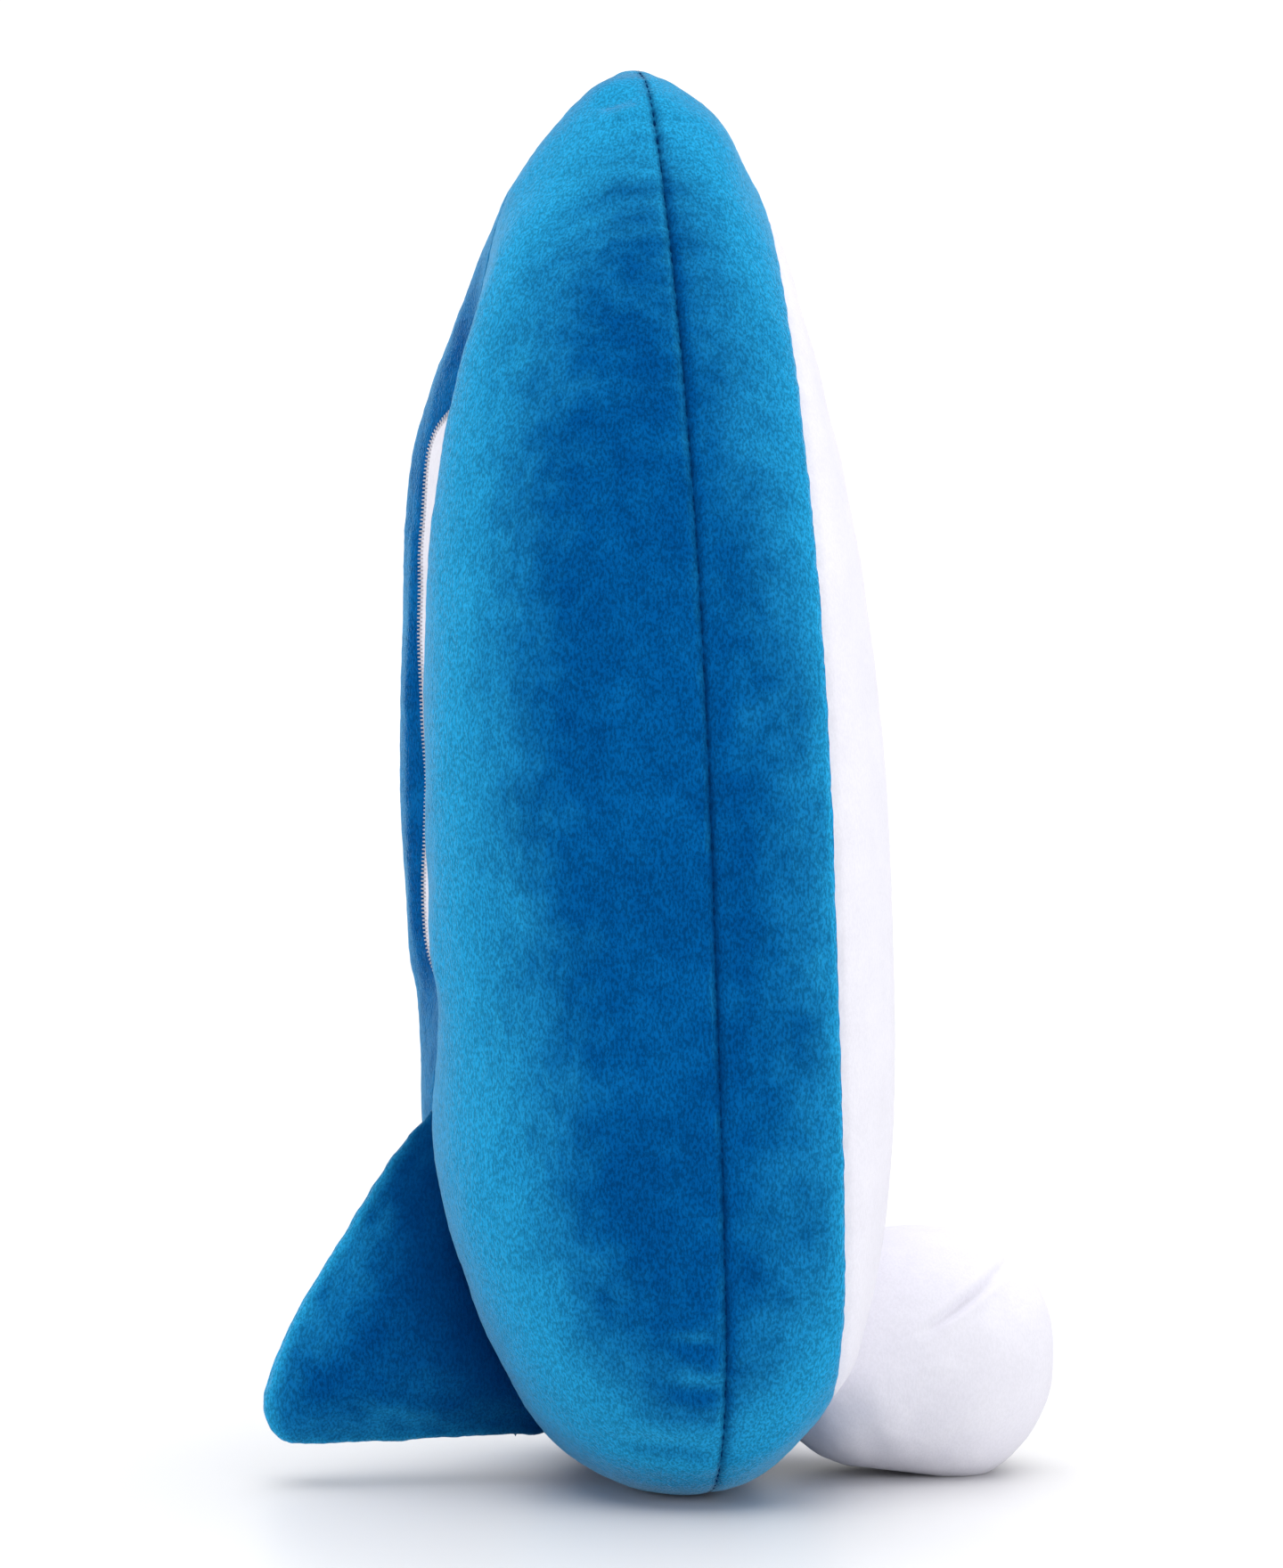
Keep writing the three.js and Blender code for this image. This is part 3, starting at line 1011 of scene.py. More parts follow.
@dataclass(frozen=True)
class PlushFinish:
    """Short soft pile, brushed unevenly, with a painted sheen where it is seen along the surface and
    painted shade in creases.
    """

    name: str
    # seam: the colour of the painted shade in seam creases and in the fin's nook
    seam: Colour
    shade: Colour
    body: Colour
    light: Colour
    # Painted sheen: the pale colour that the base colour turns to where the pile is seen along the
    # surface
    painted_sheen: Colour
    gleam: Colour
    # Largest share of that painted sheen
    painted_sheen_share: float
    sheen: float
    grain: float
    pile: float = 0.5
    pile_height: float = 0.7 * MM
    brushed_scale: float = 38
    patch_scale: float = 120
    fibre_scale: float = 1800
    fibre_stretch: tuple[float, float, float] = (1, 1, 0.5)
    stops: tuple[float, float, float] = (0.38, 0.5, 0.62)

    def material(self) -> bpy.types.Material:
        """Makes the material.

        Returns:
            The plush's material.
        """
        graph = Graph(self.name)
        brushed = graph.noise(self.brushed_scale, 1)
        patches = graph.noise(self.patch_scale, 1)
        fibres = graph.noise(self.fibre_scale, 2, self.fibre_stretch)
        uneven = graph.mixed([(brushed, 0.5), (patches, 0.5)])
        tones = graph.ramp(uneven, list(zip(self.stops, (self.shade, self.body, self.light))))
        # Painted sheen: the base colour turns paler where the pile is seen along the surface
        colour = graph.blend(tones, self.painted_sheen, graph.sheen_of_pile(uneven, self.painted_sheen_share))
        grainy = graph.speckled(colour, fibres, self.grain)
        return graph.shade(
            {
                # Painted shade: the colour turns to the seam colour where the crease-shade attribute is
                # marked
                "Base Color": graph.blend(grainy, self.seam, graph.marked(CREASE_SHADE)),
                "Roughness": 1.0,
                "Specular IOR Level": 0.0,
                "Sheen Weight": self.sheen,
                "Sheen Roughness": 0.25,
                "Sheen Tint": (*self.gleam, 1),
                "Normal": graph.bump(fibres, self.pile, self.pile_height),
            }
        )


@dataclass(frozen=True)
class ThreadFinish:
    """Twisted sewing thread."""

    name: str
    shade: Colour
    light: Colour
    twist_scale: float = 1400
    twist_distortion: float = 1.5
    twist_height: float = 0.1 * MM
    dye_scale: float = 300
    dye_share: float = 0.4

    def material(self) -> bpy.types.Material:
        """Makes the material.

        Returns:
            The thread's material.
        """
        graph = Graph(self.name)
        scale = {"Scale": self.twist_scale, "Distortion": self.twist_distortion}
        inputs = {"Vector": graph.coordinates, **scale}
        twist = graph.add("ShaderNodeTexWave", inputs, bands_direction="DIAGONAL").outputs["Fac"]
        dye = graph.noise(self.dye_scale)
        tone = graph.mixed([(twist, 1 - self.dye_share), (dye, self.dye_share)])
        return graph.shade(
            {
                "Base Color": graph.ramp(tone, [(0.25, self.shade), (0.75, self.light)]),
                "Roughness": 0.9,
                "Specular IOR Level": 0.0,
                "Normal": graph.bump(twist, 0.5, self.twist_height),
            }
        )


@dataclass(frozen=True)
class FillFinish:
    """Loose crimped fibre."""

    name: str
    shade: Colour
    light: Colour
    fibre_scale: float = 160
    fibre_detail: float = 6
    fibre_stretch: tuple[float, float, float] = (1, 1, 3)
    fibre_height: float = 2 * MM

    def material(self) -> bpy.types.Material:
        """Makes the material.

        Returns:
            The stuffing's material.
        """
        graph = Graph(self.name)
        fibres = graph.noise(self.fibre_scale, self.fibre_detail, self.fibre_stretch)
        return graph.shade(
            {
                "Base Color": graph.ramp(fibres, [(0.35, self.shade), (0.65, self.light)]),
                "Roughness": 0.95,
                "Sheen Weight": 0.3,
                "Normal": graph.bump(fibres, 0.8, self.fibre_height),
            }
        )


class Finishes:
    """The toy's materials by slot."""

    blue = PlushFinish(
        name="blue_minky",
        # seam: the painted shade in creases
        seam=(0.0, 0.025, 0.11),
        shade=(0.0003, 0.07, 0.25),
        body=(0.0005, 0.082, 0.28),
        light=(0.001, 0.095, 0.31),
        # Painted sheen colour and its largest share
        painted_sheen=(0.02, 0.36, 0.66),
        gleam=(0.36, 0.7, 1.0),
        painted_sheen_share=0.8,
        sheen=1.0,
        grain=0.26,
    )
    white = PlushFinish(
        name="white_minky",
        # seam: the painted shade in creases
        seam=(0.6, 0.6, 0.7),
        shade=(0.795, 0.785, 0.855),
        body=(0.81, 0.80, 0.87),
        light=(0.825, 0.815, 0.88),
        # Painted sheen colour and its largest share
        painted_sheen=(0.84, 0.83, 0.89),
        gleam=(0.88, 0.87, 0.93),
        painted_sheen_share=0.4,
        sheen=0.1,
        grain=0.02,
        pile=0.1,
    )
    fill = FillFinish("fibre_fill", (0.7, 0.7, 0.68), (0.9, 0.9, 0.88))
    blue_thread = ThreadFinish("blue_sewing_thread", (0.0, 0.015, 0.07), (0.001, 0.045, 0.16))
    white_thread = ThreadFinish("white_sewing_thread", (0.66, 0.65, 0.72), (0.88, 0.87, 0.93))

    def __init__(self) -> None:
        """Makes each material once."""
        self.of_slot = {
            Slot.BLUE_PLUSH: self.blue.material(),
            Slot.WHITE_PLUSH: self.white.material(),
            Slot.STUFFING: self.fill.material(),
            Slot.BLUE_THREAD: self.blue_thread.material(),
            Slot.WHITE_THREAD: self.white_thread.material(),
        }

    def put_on(self, piece: Piece, slot: Slot, *nodes: str) -> None:
        """Gives a piece its material and says which nodes it stands for.

        Args:
            piece: The piece to finish.
            slot: The record's slot.
            nodes: The nodes of the frame that it replaces.
        """
        piece.data.materials.clear()
        piece.data.materials.append(self.of_slot[slot])
        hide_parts(*nodes)
        log.info("%s: %d faces, for %s", piece.name, len(piece.data.polygons), ", ".join(nodes))


def back_with_cloth(panel: Piece, thickness: float) -> None:
    """Gives a panel the thickness of its cloth, on its inner side, with sharp cut edges.

    Args:
        panel: The panel to close.
        thickness: The cloth's thickness.
    """
    with edited(panel.data) as shape:
        for edge in shape.edges:
            edge.smooth = not edge.is_boundary
    wall = panel.modifiers.new("cloth_thickness", "SOLIDIFY")
    wall.thickness = thickness
    wall.offset = -1
    wall.use_even_offset = False


def paint_shade(mesh: Mesh, distance: Rows, width: float, most: float = 0.8) -> None:
    """Marks painted shade on the pile, by the distance of points from a crease or nook of that width."""
    marks = mesh.attributes.new(CREASE_SHADE, "FLOAT", "POINT")
    marks.data.foreach_set("value", (most * bell(distance, width)).astype(np.float32))


def lean_pile(mesh: Mesh, ways: Rows) -> None:
    """Marks which way the pile leans at each point, which steers the painted sheen.

    Args:
        mesh: The mesh to mark.
        ways: The direction and amount for each point, of which only the part along the surface counts.
    """
    normals = normals_of(mesh)
    along = ways - (ways * normals).sum(1, keepdims=True) * normals
    marks = mesh.attributes.new(NAP, "FLOAT_VECTOR", "POINT")
    marks.data.foreach_set("vector", along.astype(np.float32).ravel())


def ruffle(form: Piece, size: float, depth: float) -> None:
    """Makes the pile of a form slightly uneven.

    Args:
        form: The form to change.
        size: The size of its tufts.
        depth: How high they stand.
    """
    texture = bpy.data.textures.new(f"{form.name}_tufts", "CLOUDS")
    texture.noise_scale = size
    texture.noise_depth = 1
    pile = form.modifiers.new("tufts", "DISPLACE")
    pile.texture = texture
    pile.texture_coords = "LOCAL"
    pile.strength = depth
    apply_modifiers(form)


# Sub-assemblies


@dataclass(kw_only=True)
class SewnPart:
    """A sub-assembly of cloth that is sewn together, whose pieces ride on the board unless the part
    attaches them otherwise.
    """

    finishes: Finishes
    cloth: float
    fullness: float = 0.8
    snap: float = 0.25 * MM

    def attach(self, piece: Piece) -> None:
        """Makes a piece move with the board."""
        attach(piece, "board")

    def finish(self, piece: Piece, slot: Slot, node: str) -> None:
        """Gives a piece its material and attaches it as this part attaches its pieces."""
        self.finishes.put_on(piece, slot, node)
        self.attach(piece)

    def dress(self, form: Piece, panel_of_face: Rows, slots: dict[str, Slot]) -> None:
        """Splits a form into its panels and finishes them.

        Args:
            form: The finished form, which is used up.
            panel_of_face: The number of its panel for each face.
            slots: The slot of each panel by its node, in the order of the panels' numbers.
        """
        panels = split(form, panel_of_face, [f"{node}_cloth" for node in slots])
        for panel, (node, slot) in zip(panels, slots.items()):
            back_with_cloth(panel, self.cloth)
            self.finishes.put_on(panel, slot, node)
            self.attach(panel)


@dataclass(kw_only=True)
class Board(SewnPart):
    """The stuffed board: deck, rail bands, bottom panels, their seams and their fill."""

    cloth: float = 2.2 * MM
    grow: float = 3.2 * MM
    fill_slack: float = 2.0 * MM
    seam_hold: float = 2.6 * MM
    tuft_size: float = 2.4 * MM
    tuft_depth: float = 0.3 * MM
    dip: SeamDip = SeamDip()
    dip_at_ends: float = 0.3
    full_dips: tuple[float, float] = (12 * MM, 340 * MM)
    # crease_width: width of the painted shade along the seams' creases
    crease_width: float = 0.85 * MM
    # How the pile leans: these only set where the painted sheen shows, towards the nose, the tail and on
    # the bands
    lean: float = 0.5
    lean_on_bands: float = 1.3
    lean_down: float = 0.6
    lean_up: float = 1.2
    brushed_down: tuple[float, float] = (25 * MM, 130 * MM)
    brushed_up: tuple[float, float] = (305 * MM, 350 * MM)
    parting: float = 4 * MM
    pile_edge: float = 1 * MM
    stitching: Stitching = Stitching(lift=-0.15 * MM)
    deck_stitching: Stitching = Stitching(lift=-0.5 * MM)
    valley: Valley = Valley()
    swells: tuple[Swell, ...] = (
        Swell((-0.004, 0.356), 18 * MM, 1.6 * MM),
        Swell((0.016, 0.343), 14 * MM, 1.8 * MM),
        Swell((-0.033, 0.328), 16 * MM, -1.5 * MM),
        Swell((-0.061, 0.108), 26 * MM, -2.8 * MM),
        Swell((-0.058, 0.262), 30 * MM, 2.8 * MM, Side.RIGHT, 13 * MM, 27 * MM),
        Swell((-0.062, 0.175), 65 * MM, 1.4 * MM, Side.RIGHT, 14 * MM, 30 * MM),
    )
    folds: tuple[Fold, ...] = (
        Fold((-0.0190, 0.3455), (-0.0070, 0.3490), 1.3 * MM, 2.2 * MM, Side.LEFT),
        Fold((-0.0080, 0.0425), (0.0055, 0.0415), 0.5 * MM, 2.0 * MM, Side.LEFT),
        Fold((-0.0070, 0.0320), (0.0060, 0.0305), 0.55 * MM, 2.2 * MM, Side.LEFT),
        Fold((-0.0220, 0.0170), (0.0040, 0.0160), 0.7 * MM, 2.6 * MM, Side.LEFT),
        Fold((-0.0240, 0.0840), (0.0050, 0.0850), 0.8 * MM, 5.0 * MM, Side.LEFT),
        Fold((-0.0190, 0.0300), (0.0030, 0.0270), 1.0 * MM, 2.4 * MM, Side.RIGHT),
        Fold((-0.0160, 0.3440), (-0.0050, 0.3470), 1.1 * MM, 2.2 * MM, Side.RIGHT),
    )
    blue_panels: tuple[str, ...] = (
        "bottom_panel_left",
        "bottom_panel_right",
        "rail_band_left",
        "rail_band_right",
    )

    def __post_init__(self) -> None:
        """Finds the planes of the seams in the frame."""
        self.bottom_seam = SeamPlane.through(["bottom_seam_thread_left", "bottom_seam_thread_right"], OUT)
        self.deck_seam = SeamPlane.through(["deck_seam_thread_left", "deck_seam_thread_right"], OUT)
        low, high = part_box("board_stuffing")
        self.core = np.array((low + high) / 2)

    def held(self, points: Rows) -> Rows:
        """Says which points of the form the seams hold down.

        Args:
            points: The form's points.

        Returns:
            True for each point next to a seam.
        """
        in_middle = (np.abs(points[:, 1]) < self.seam_hold) & (self.deck_seam.height(points) < 0)
        on_bottom_seam = np.abs(self.bottom_seam.height(points)) < self.seam_hold
        on_deck_seam = np.abs(self.deck_seam.height(points)) < self.seam_hold
        return in_middle | on_bottom_seam | on_deck_seam

    def panel_of(self, points: Rows) -> Rows:
        """Gives the panel of each face, as the blue ones are listed and with the deck last.

        Args:
            points: The middle of each face.

        Returns:
            The number of each face's panel.
        """
        right = (points[:, 1] > 0).astype(int)
        past_bottom = self.bottom_seam.height(points) > 0
        past_deck = self.deck_seam.height(points) > 0
        return np.where(past_deck, len(self.blue_panels), np.where(past_bottom, 2 + right, right))

    def find_seams(self, points: Rows) -> dict[str, Rows]:
        """Finds the seams on the form when it has just been cut along them.

        Args:
            points: The form's points.

        Returns:
            The numbers of each seam's points in sewing order, by the name of its thread.
        """
        over_bottom = self.bottom_seam.height(points)
        over_deck = self.deck_seam.height(points)
        in_middle = np.abs(points[:, 1]) < ON_SEAM
        in_band = in_middle & (over_bottom > -ON_SEAM) & (over_deck < ON_SEAM)
        found = {}
        for side in Side:
            here = points[:, 1] * side.value > -ON_SEAM
            for name, height in (("bottom", over_bottom), ("deck", over_deck)):
                on_seam = here & (np.abs(height) < ON_SEAM)
                found[f"{name}_seam_thread_{side.name.lower()}"] = (on_seam, ACROSS * side.value, UP)
        found["centre_seam_thread"] = (in_middle & (over_bottom < ON_SEAM), -OUT, UP)
        for name, end in (("nose", UP), ("tail", -UP)):
            found[f"{name}_join_thread"] = (in_band & ((points - self.core) @ end > 0), end, OUT)
        return {name: sewing_order(points, row[0], self.core, *row[1:]) for name, row in found.items()}

    def build(self) -> BVHTree:
        """Builds the board.

        Returns:
            Its surface before the seams are drawn in, for what is sewn on it.
        """
        stuffed = StuffedForm("board_form", ["board_stuffing"], self.grow, Inflation())
        form = stuffed.build(self.held)
        self.settle(form)
        surface = BVHTree.FromObject(form, bpy.context.evaluated_depsgraph_get())
        fill = stuffed.fill("board_fill", "board_stuffing", self.fill_slack)
        points = points_of(fill.data)
        move_points(fill.data, points + self.valley.sink(points)[:, None] * OUT)
        self.finish(fill, Slot.STUFFING, "board_stuffing")
        cut_along(form, [self.bottom_seam, self.deck_seam, MIDDLE], self.snap)
        seams = self.find_seams(points_of(form.data))
        panel = self.panel_of(face_centres(form.data))
        self.draw_in(form, seams)
        ruffle(form, self.tuft_size, self.tuft_depth)
        press_on_floor(form)
        self.sew(form, seams)
        slots = dict.fromkeys(self.blue_panels, Slot.BLUE_PLUSH)
        self.dress(form, panel, {**slots, "deck_panel": Slot.WHITE_PLUSH})
        return surface

    def settle(self, form: Piece) -> None:
        """Lets the filling settle: it swells in some places and leaves the valley in the bottom.

        Args:
            form: The blown up form.
        """
        points = points_of(form.data)
        rise = sum(swell.rise(points) for swell in self.swells)
        settled = points + rise[:, None] * normals_of(form.data)
        move_points(form.data, settled + self.valley.sink(points)[:, None] * OUT)

    def draw_in(self, form: Piece, seams: dict[str, Rows]) -> None:
        """Draws the cloth in at the seams and folds, and marks painted shade in the seams' creases and
        the pile's lean.

        Args:
            form: The cut form.
            seams: The numbers of each seam's points.
        """
        points = points_of(form.data)
        normals = normals_of(form.data)
        sink = np.zeros(len(points))
        nearest = np.full(len(points), self.dip.within)
        for name, order in seams.items():
            distance, way = SeamRun.on(form.data, order).nearest(points, self.dip.within)
            if not name.startswith("deck"):
                nearest = np.minimum(nearest, distance)
            sink = np.maximum(sink, self.dip.sink(distance, way))
        low, high = self.full_dips
        tail = smooth_step(points[:, 2], 0, low)
        nose = 1 - smooth_step(points[:, 2], high, high + low)
        sink *= self.dip_at_ends + (1 - self.dip_at_ends) * tail * nose
        for fold in self.folds:
            sink += fold.sink(points)
        move_points(form.data, points - sink[:, None] * normals)
        # Painted shade along the creases of every seam but the deck's
        paint_shade(form.data, nearest, self.crease_width)
        lean_pile(form.data, self.lie_of_pile(points))

    def lie_of_pile(self, points: Rows) -> Rows:
        """Says which way the pile leans, which sets where the painted sheen shows.

        It leans to the centre seam on the bottom, to the deck on the bands, and to the nose and the
        tail next to them.

        Args:
            points: The form's points.

        Returns:
            The direction and amount for each point.
        """
        edge = self.pile_edge
        past_bottom = smooth_step(self.bottom_seam.height(points), -edge, edge)[:, None]
        before_deck = smooth_step(-self.deck_seam.height(points), -edge, edge)[:, None]
        inwards = -np.tanh(points[:, 1] / self.parting)[:, None] * ACROSS
        up = self.lean_up * smooth_step(points[:, 2], *self.brushed_up)
        down = self.lean_down * (1 - smooth_step(points[:, 2], *self.brushed_down))
        ends = (up - down)[:, None] * UP
        on_bands = self.lean_on_bands * past_bottom * OUT
        return self.lean * before_deck * (on_bands + (1 - past_bottom) * inwards + ends)

    def sew(self, form: Piece, seams: dict[str, Rows]) -> None:
        """Lays the stitches in the seams.

        Args:
            form: The finished form, still in one piece.
            seams: The numbers of each seam's points.
        """
        for name, order in seams.items():
            stitching = self.deck_stitching if name.startswith("deck") else self.stitching
            stitches = stitching.sew(f"{name}_stitches", SeamRun.on(form.data, order))
            self.finish(stitches, Slot.BLUE_THREAD, name)


@dataclass(kw_only=True)
class Patch(SewnPart):
    """The bare white patch on the bottom and the satin stitching round it."""

    surface: BVHTree
    cloth: float = 1.3 * MM
    columns: int = 18
    cap_rows: int = 12
    straight_rows: int = 70
    lift: float = 0.2 * MM
    crown: float = 0.3 * MM
    crown_flatness: int = 4
    weld: float = 0.05 * MM
    view_from: float = 50 * MM
    satin: Stitching = Stitching(
        pitch=0.5 * MM, length=2.4 * MM, radius=0.3 * MM, lift=0.25 * MM, across=True
    )

    def __post_init__(self) -> None:
        """Reads the patch's outline off its solid."""
        low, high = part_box("bottom_patch")
        self.half_width = (high.y - low.y) / 2
        self.bottom = low.z + self.half_width
        self.top = high.z - self.half_width
        self.far = low.x - self.view_from
        self.rows = 2 * self.cap_rows + self.straight_rows

    def on_board(self, y: float, z: float) -> tuple[Vector, Vector]:
        """Finds a place on the bottom and the outward direction there."""
        place, normal, _, _ = self.surface.ray_cast(Vector((self.far, y, z)), Vector(OUT))
        return place, normal

    def row(self, number: int) -> tuple[float, float]:
        """Measures a row of the patch.

        Args:
            number: The row's number, counted from the lower end.

        Returns:
            Its height and half width.
        """
        if number <= self.cap_rows:
            angle = math.pi / 2 * (1 - number / self.cap_rows)
            return self.bottom - self.half_width * math.sin(angle), self.half_width * math.cos(angle)
        above = number - self.cap_rows - self.straight_rows
        if above <= 0:
            share = 1 + above / self.straight_rows
            return self.bottom + share * (self.top - self.bottom), self.half_width
        angle = math.pi / 2 * above / self.cap_rows
        return self.top + self.half_width * math.sin(angle), self.half_width * math.cos(angle)

    def build(self) -> None:
        """Builds the patch and its stitching."""
        self.build_cloth()
        self.build_stitching()

    def build_cloth(self) -> None:
        """Lays a grid with round ends on the bottom."""
        shape = bmesh.new()
        bmesh.ops.create_grid(shape, x_segments=self.columns, y_segments=self.rows, size=1)
        for vert in shape.verts:
            share = vert.co.x
            z, half = self.row(round((vert.co.y + 1) / 2 * self.rows))
            place, normal = self.on_board(share * half, z)
            middle = (1 - share**self.crown_flatness) * min(half / self.half_width * 2, 1)
            vert.co = place + normal * (self.lift + self.crown * middle)
        bmesh.ops.remove_doubles(shape, verts=shape.verts[:], dist=self.weld)
        bmesh.ops.recalc_face_normals(shape, faces=shape.faces[:])
        patch = object_from("bottom_patch_cloth", shape)
        if patch.data.polygons[0].normal.x > 0:
            patch.data.flip_normals()
        back_with_cloth(patch, self.cloth)
        self.finish(patch, Slot.WHITE_PLUSH, "bottom_patch")

    def build_stitching(self) -> None:
        """Sews satin stitches across the patch's edge."""
        spans = [self.row(number) for number in range(self.rows + 1)]
        edge = [(half, z) for z, half in spans] + [(-half, z) for z, half in reversed(spans[1:-1])]
        found = [self.on_board(y, z) for y, z in [*edge, edge[0]]]
        points = np.array([place for place, _ in found])
        normals = np.array([normal for _, normal in found])
        stitches = self.satin.sew("patch_stitching_satin", SeamRun(points, normals))
        self.finish(stitches, Slot.WHITE_THREAD, "patch_stitching")


@dataclass(kw_only=True)
class Limb(SewnPart):
    """A stuffed form of two halves that is sewn to the board."""

    surface: BVHTree
    name: str
    plush: Slot
    thread: Slot
    seam_hold: float
    fill_slack: float
    tuft_size: float
    tuft_depth: float
    dip: SeamDip
    stitching: Stitching
    pulls: tuple[Pull, ...]

    def held(self, points: Rows) -> Rows:
        """Says which points the seam between the halves holds down."""
        return np.abs(points[:, 1]) < self.seam_hold

    def drawn_over(self, points: Rows) -> Rows:
        """Gives how far the seams draw each point over."""
        return sum(pull.shift(points) for pull in self.pulls)

    def solids(self) -> list[str]:
        """Lists the nodes that the form starts from."""
        return [f"{self.name}_{part}" for part in ("panel_left", "panel_right", "stuffing")]

    def stuffed(self) -> StuffedForm:
        """Says how the form is made."""
        raise NotImplementedError

    def find_seam(self, points: Rows) -> Rows:
        """Finds the seam between the halves, as the numbers of its points in sewing order."""
        raise NotImplementedError

    def shape(self, form: Piece, run: SeamRun) -> None:
        """Gives the form its seam and folds; the fin's also paints shade and marks its pile's lean."""
        raise NotImplementedError

    def even_out(self, form: Piece) -> None:
        """Changes the blown up form before it is cut, where that is needed."""

    def build(self) -> None:
        """Builds the limb."""
        stuffed = self.stuffed()
        form = stuffed.build(self.held)
        self.even_out(form)
        core = replace(stuffed, thicken=0.0, rounding=0)
        fill = core.fill(f"{self.name}_fill", f"{self.name}_stuffing", self.fill_slack)
        self.finish(fill, Slot.STUFFING, f"{self.name}_stuffing")
        cut_along(form, [MIDDLE], self.snap)
        right = (face_centres(form.data)[:, 1] > 0).astype(int)
        seam = self.find_seam(points_of(form.data))
        self.shape(form, SeamRun.on(form.data, seam))
        ruffle(form, self.tuft_size, self.tuft_depth)
        press_on_floor(form)
        thread = f"{self.name}_seam_thread"
        stitches = self.stitching.sew(f"{thread}_stitches", SeamRun.on(form.data, seam))
        self.finish(stitches, self.thread, thread)
        halves = [f"{self.name}_panel_{side.name.lower()}" for side in Side]
        self.dress(form, right, dict.fromkeys(halves, self.plush))


@dataclass(kw_only=True)
class Fin(Limb):
    """The stuffed fin, sewn into the bottom's centre seam, which bends along its root."""

    name: str = "fin"
    plush: Slot = Slot.BLUE_PLUSH
    thread: Slot = Slot.BLUE_THREAD
    cloth: float = 0.8 * MM
    fullness: float = 0.7
    seam_hold: float = 1.6 * MM
    fill_slack: float = 0.8 * MM
    tuft_size: float = 2.4 * MM
    tuft_depth: float = 0.25 * MM
    evening: int = 12
    bend_from: float = -6 * MM
    bend_to: float = 16 * MM
    rim: float = 0.25 * MM
    rim_from_edge: float = 3.0 * MM
    rim_width: float = 2.0 * MM
    furrow: float = 0.35 * MM
    furrow_from_edge: float = 8.0 * MM
    furrow_width: float = 3.5 * MM
    # How the pile leans, which sets where the painted sheen shows, most along the rim
    lean: float = 0.5
    lean_down: float = 0.2
    rim_lean: float = 1.0
    rim_lean_width: float = 4 * MM
    # Painted shade on the fin where it meets the board: its width and strength
    shade_near_board_width: float = 18 * MM
    shade_near_board: float = 0.75
    pulls: tuple[Pull, ...] = (
        Pull((-0.0807, 0.0619), 22 * MM, (1.8 * MM, -0.9 * MM)),
        Pull((-0.0830, 0.0100), 20 * MM, (0.0, 1.2 * MM)),
    )
    dip: SeamDip = SeamDip(crease=0.5 * MM, roll=0.2 * MM, roll_width=3.0 * MM, pucker=0.25 * MM)
    stitching: Stitching = Stitching(length=2.2 * MM, radius=0.3 * MM, lift=-0.3 * MM)

    def __post_init__(self) -> None:
        """Reads the fin's hinge off the frame."""
        joint = next(j for j in frame["joints"] if j["name"] == "fin_flex")
        self.hinge = Vector(joint["pos_m"])
        along = Vector(joint["axis"]).normalized()
        self.outwards = Vector((along.z, 0, -along.x)).normalized()
        self.outwards *= -1 if self.outwards.x > 0 else 1
        low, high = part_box("fin_panel_left")
        self.centre = np.array(((low.x + high.x) / 2, 0, (low.z + high.z) / 2))

    def attach(self, piece: Piece) -> None:
        """Bakes a piece's place into its mesh and leaves it unattached.

        Args:
            piece: The finished piece.
        """
        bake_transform(piece)

    def stuffed(self) -> StuffedForm:
        """Says how the form is made.

        Returns:
            A form that starts thick, whose root runs on into the board.
        """
        return StuffedForm(
            "fin_form",
            self.solids(),
            grow=-0.9 * MM,
            inflation=Inflation(reach=1.2 * MM),
            root=SewnRoot(self.surface, OUT, slant=1.1),
            voxel=1.6 * MM,
            refinements=1,
            thicken=1.5 * MM,
            rounding=10,
        )

    def even_out(self, form: Piece) -> None:
        """Evens out the blown up form and draws it over at its seams.

        Args:
            form: The form to change.
        """
        StuffedForm.relax(form.data, ROUNDING * self.evening)
        points = points_of(form.data)
        move_points(form.data, points + self.drawn_over(points))

    def find_seam(self, points: Rows) -> Rows:
        """Finds the edge seam on the form when it has just been cut along the middle.

        Args:
            points: The form's points.

        Returns:
            The numbers of the seam's points outside the board, from root to root round the tip.
        """
        out = np.array(self.outwards)
        beyond = (points - np.array(self.hinge)) @ out
        on_seam = (np.abs(points[:, 1]) < ON_SEAM) & (beyond > 0)
        return sewing_order(points, on_seam, self.centre, out, np.array((-out[2], 0, out[0])))

    def shape(self, form: Piece, run: SeamRun) -> None:
        """Gives the fin its rim and furrow along the seam, paints shade where it meets the board, and
        marks its pile's lean.

        Args:
            form: The cut form.
            run: Its edge seam.
        """
        points = points_of(form.data)
        distance, way = run.nearest(points, self.dip.within)
        sink = self.dip.sink(distance, way)
        sink -= self.rim * bell(distance - self.rim_from_edge, self.rim_width)
        sink += self.furrow * bell(distance - self.furrow_from_edge, self.furrow_width)
        move_points(form.data, points - sink[:, None] * normals_of(form.data))
        # Painted shade, darkest where the fin meets the board
        paint_shade(form.data, gaps_to(self.surface, points), self.shade_near_board_width, self.shade_near_board)
        # Lean of the pile, which puts painted sheen along the rim
        lean = self.lean + self.rim_lean * bell(distance, self.rim_lean_width)
        lean_pile(form.data, -lean[:, None] * (OUT + self.lean_down * UP))


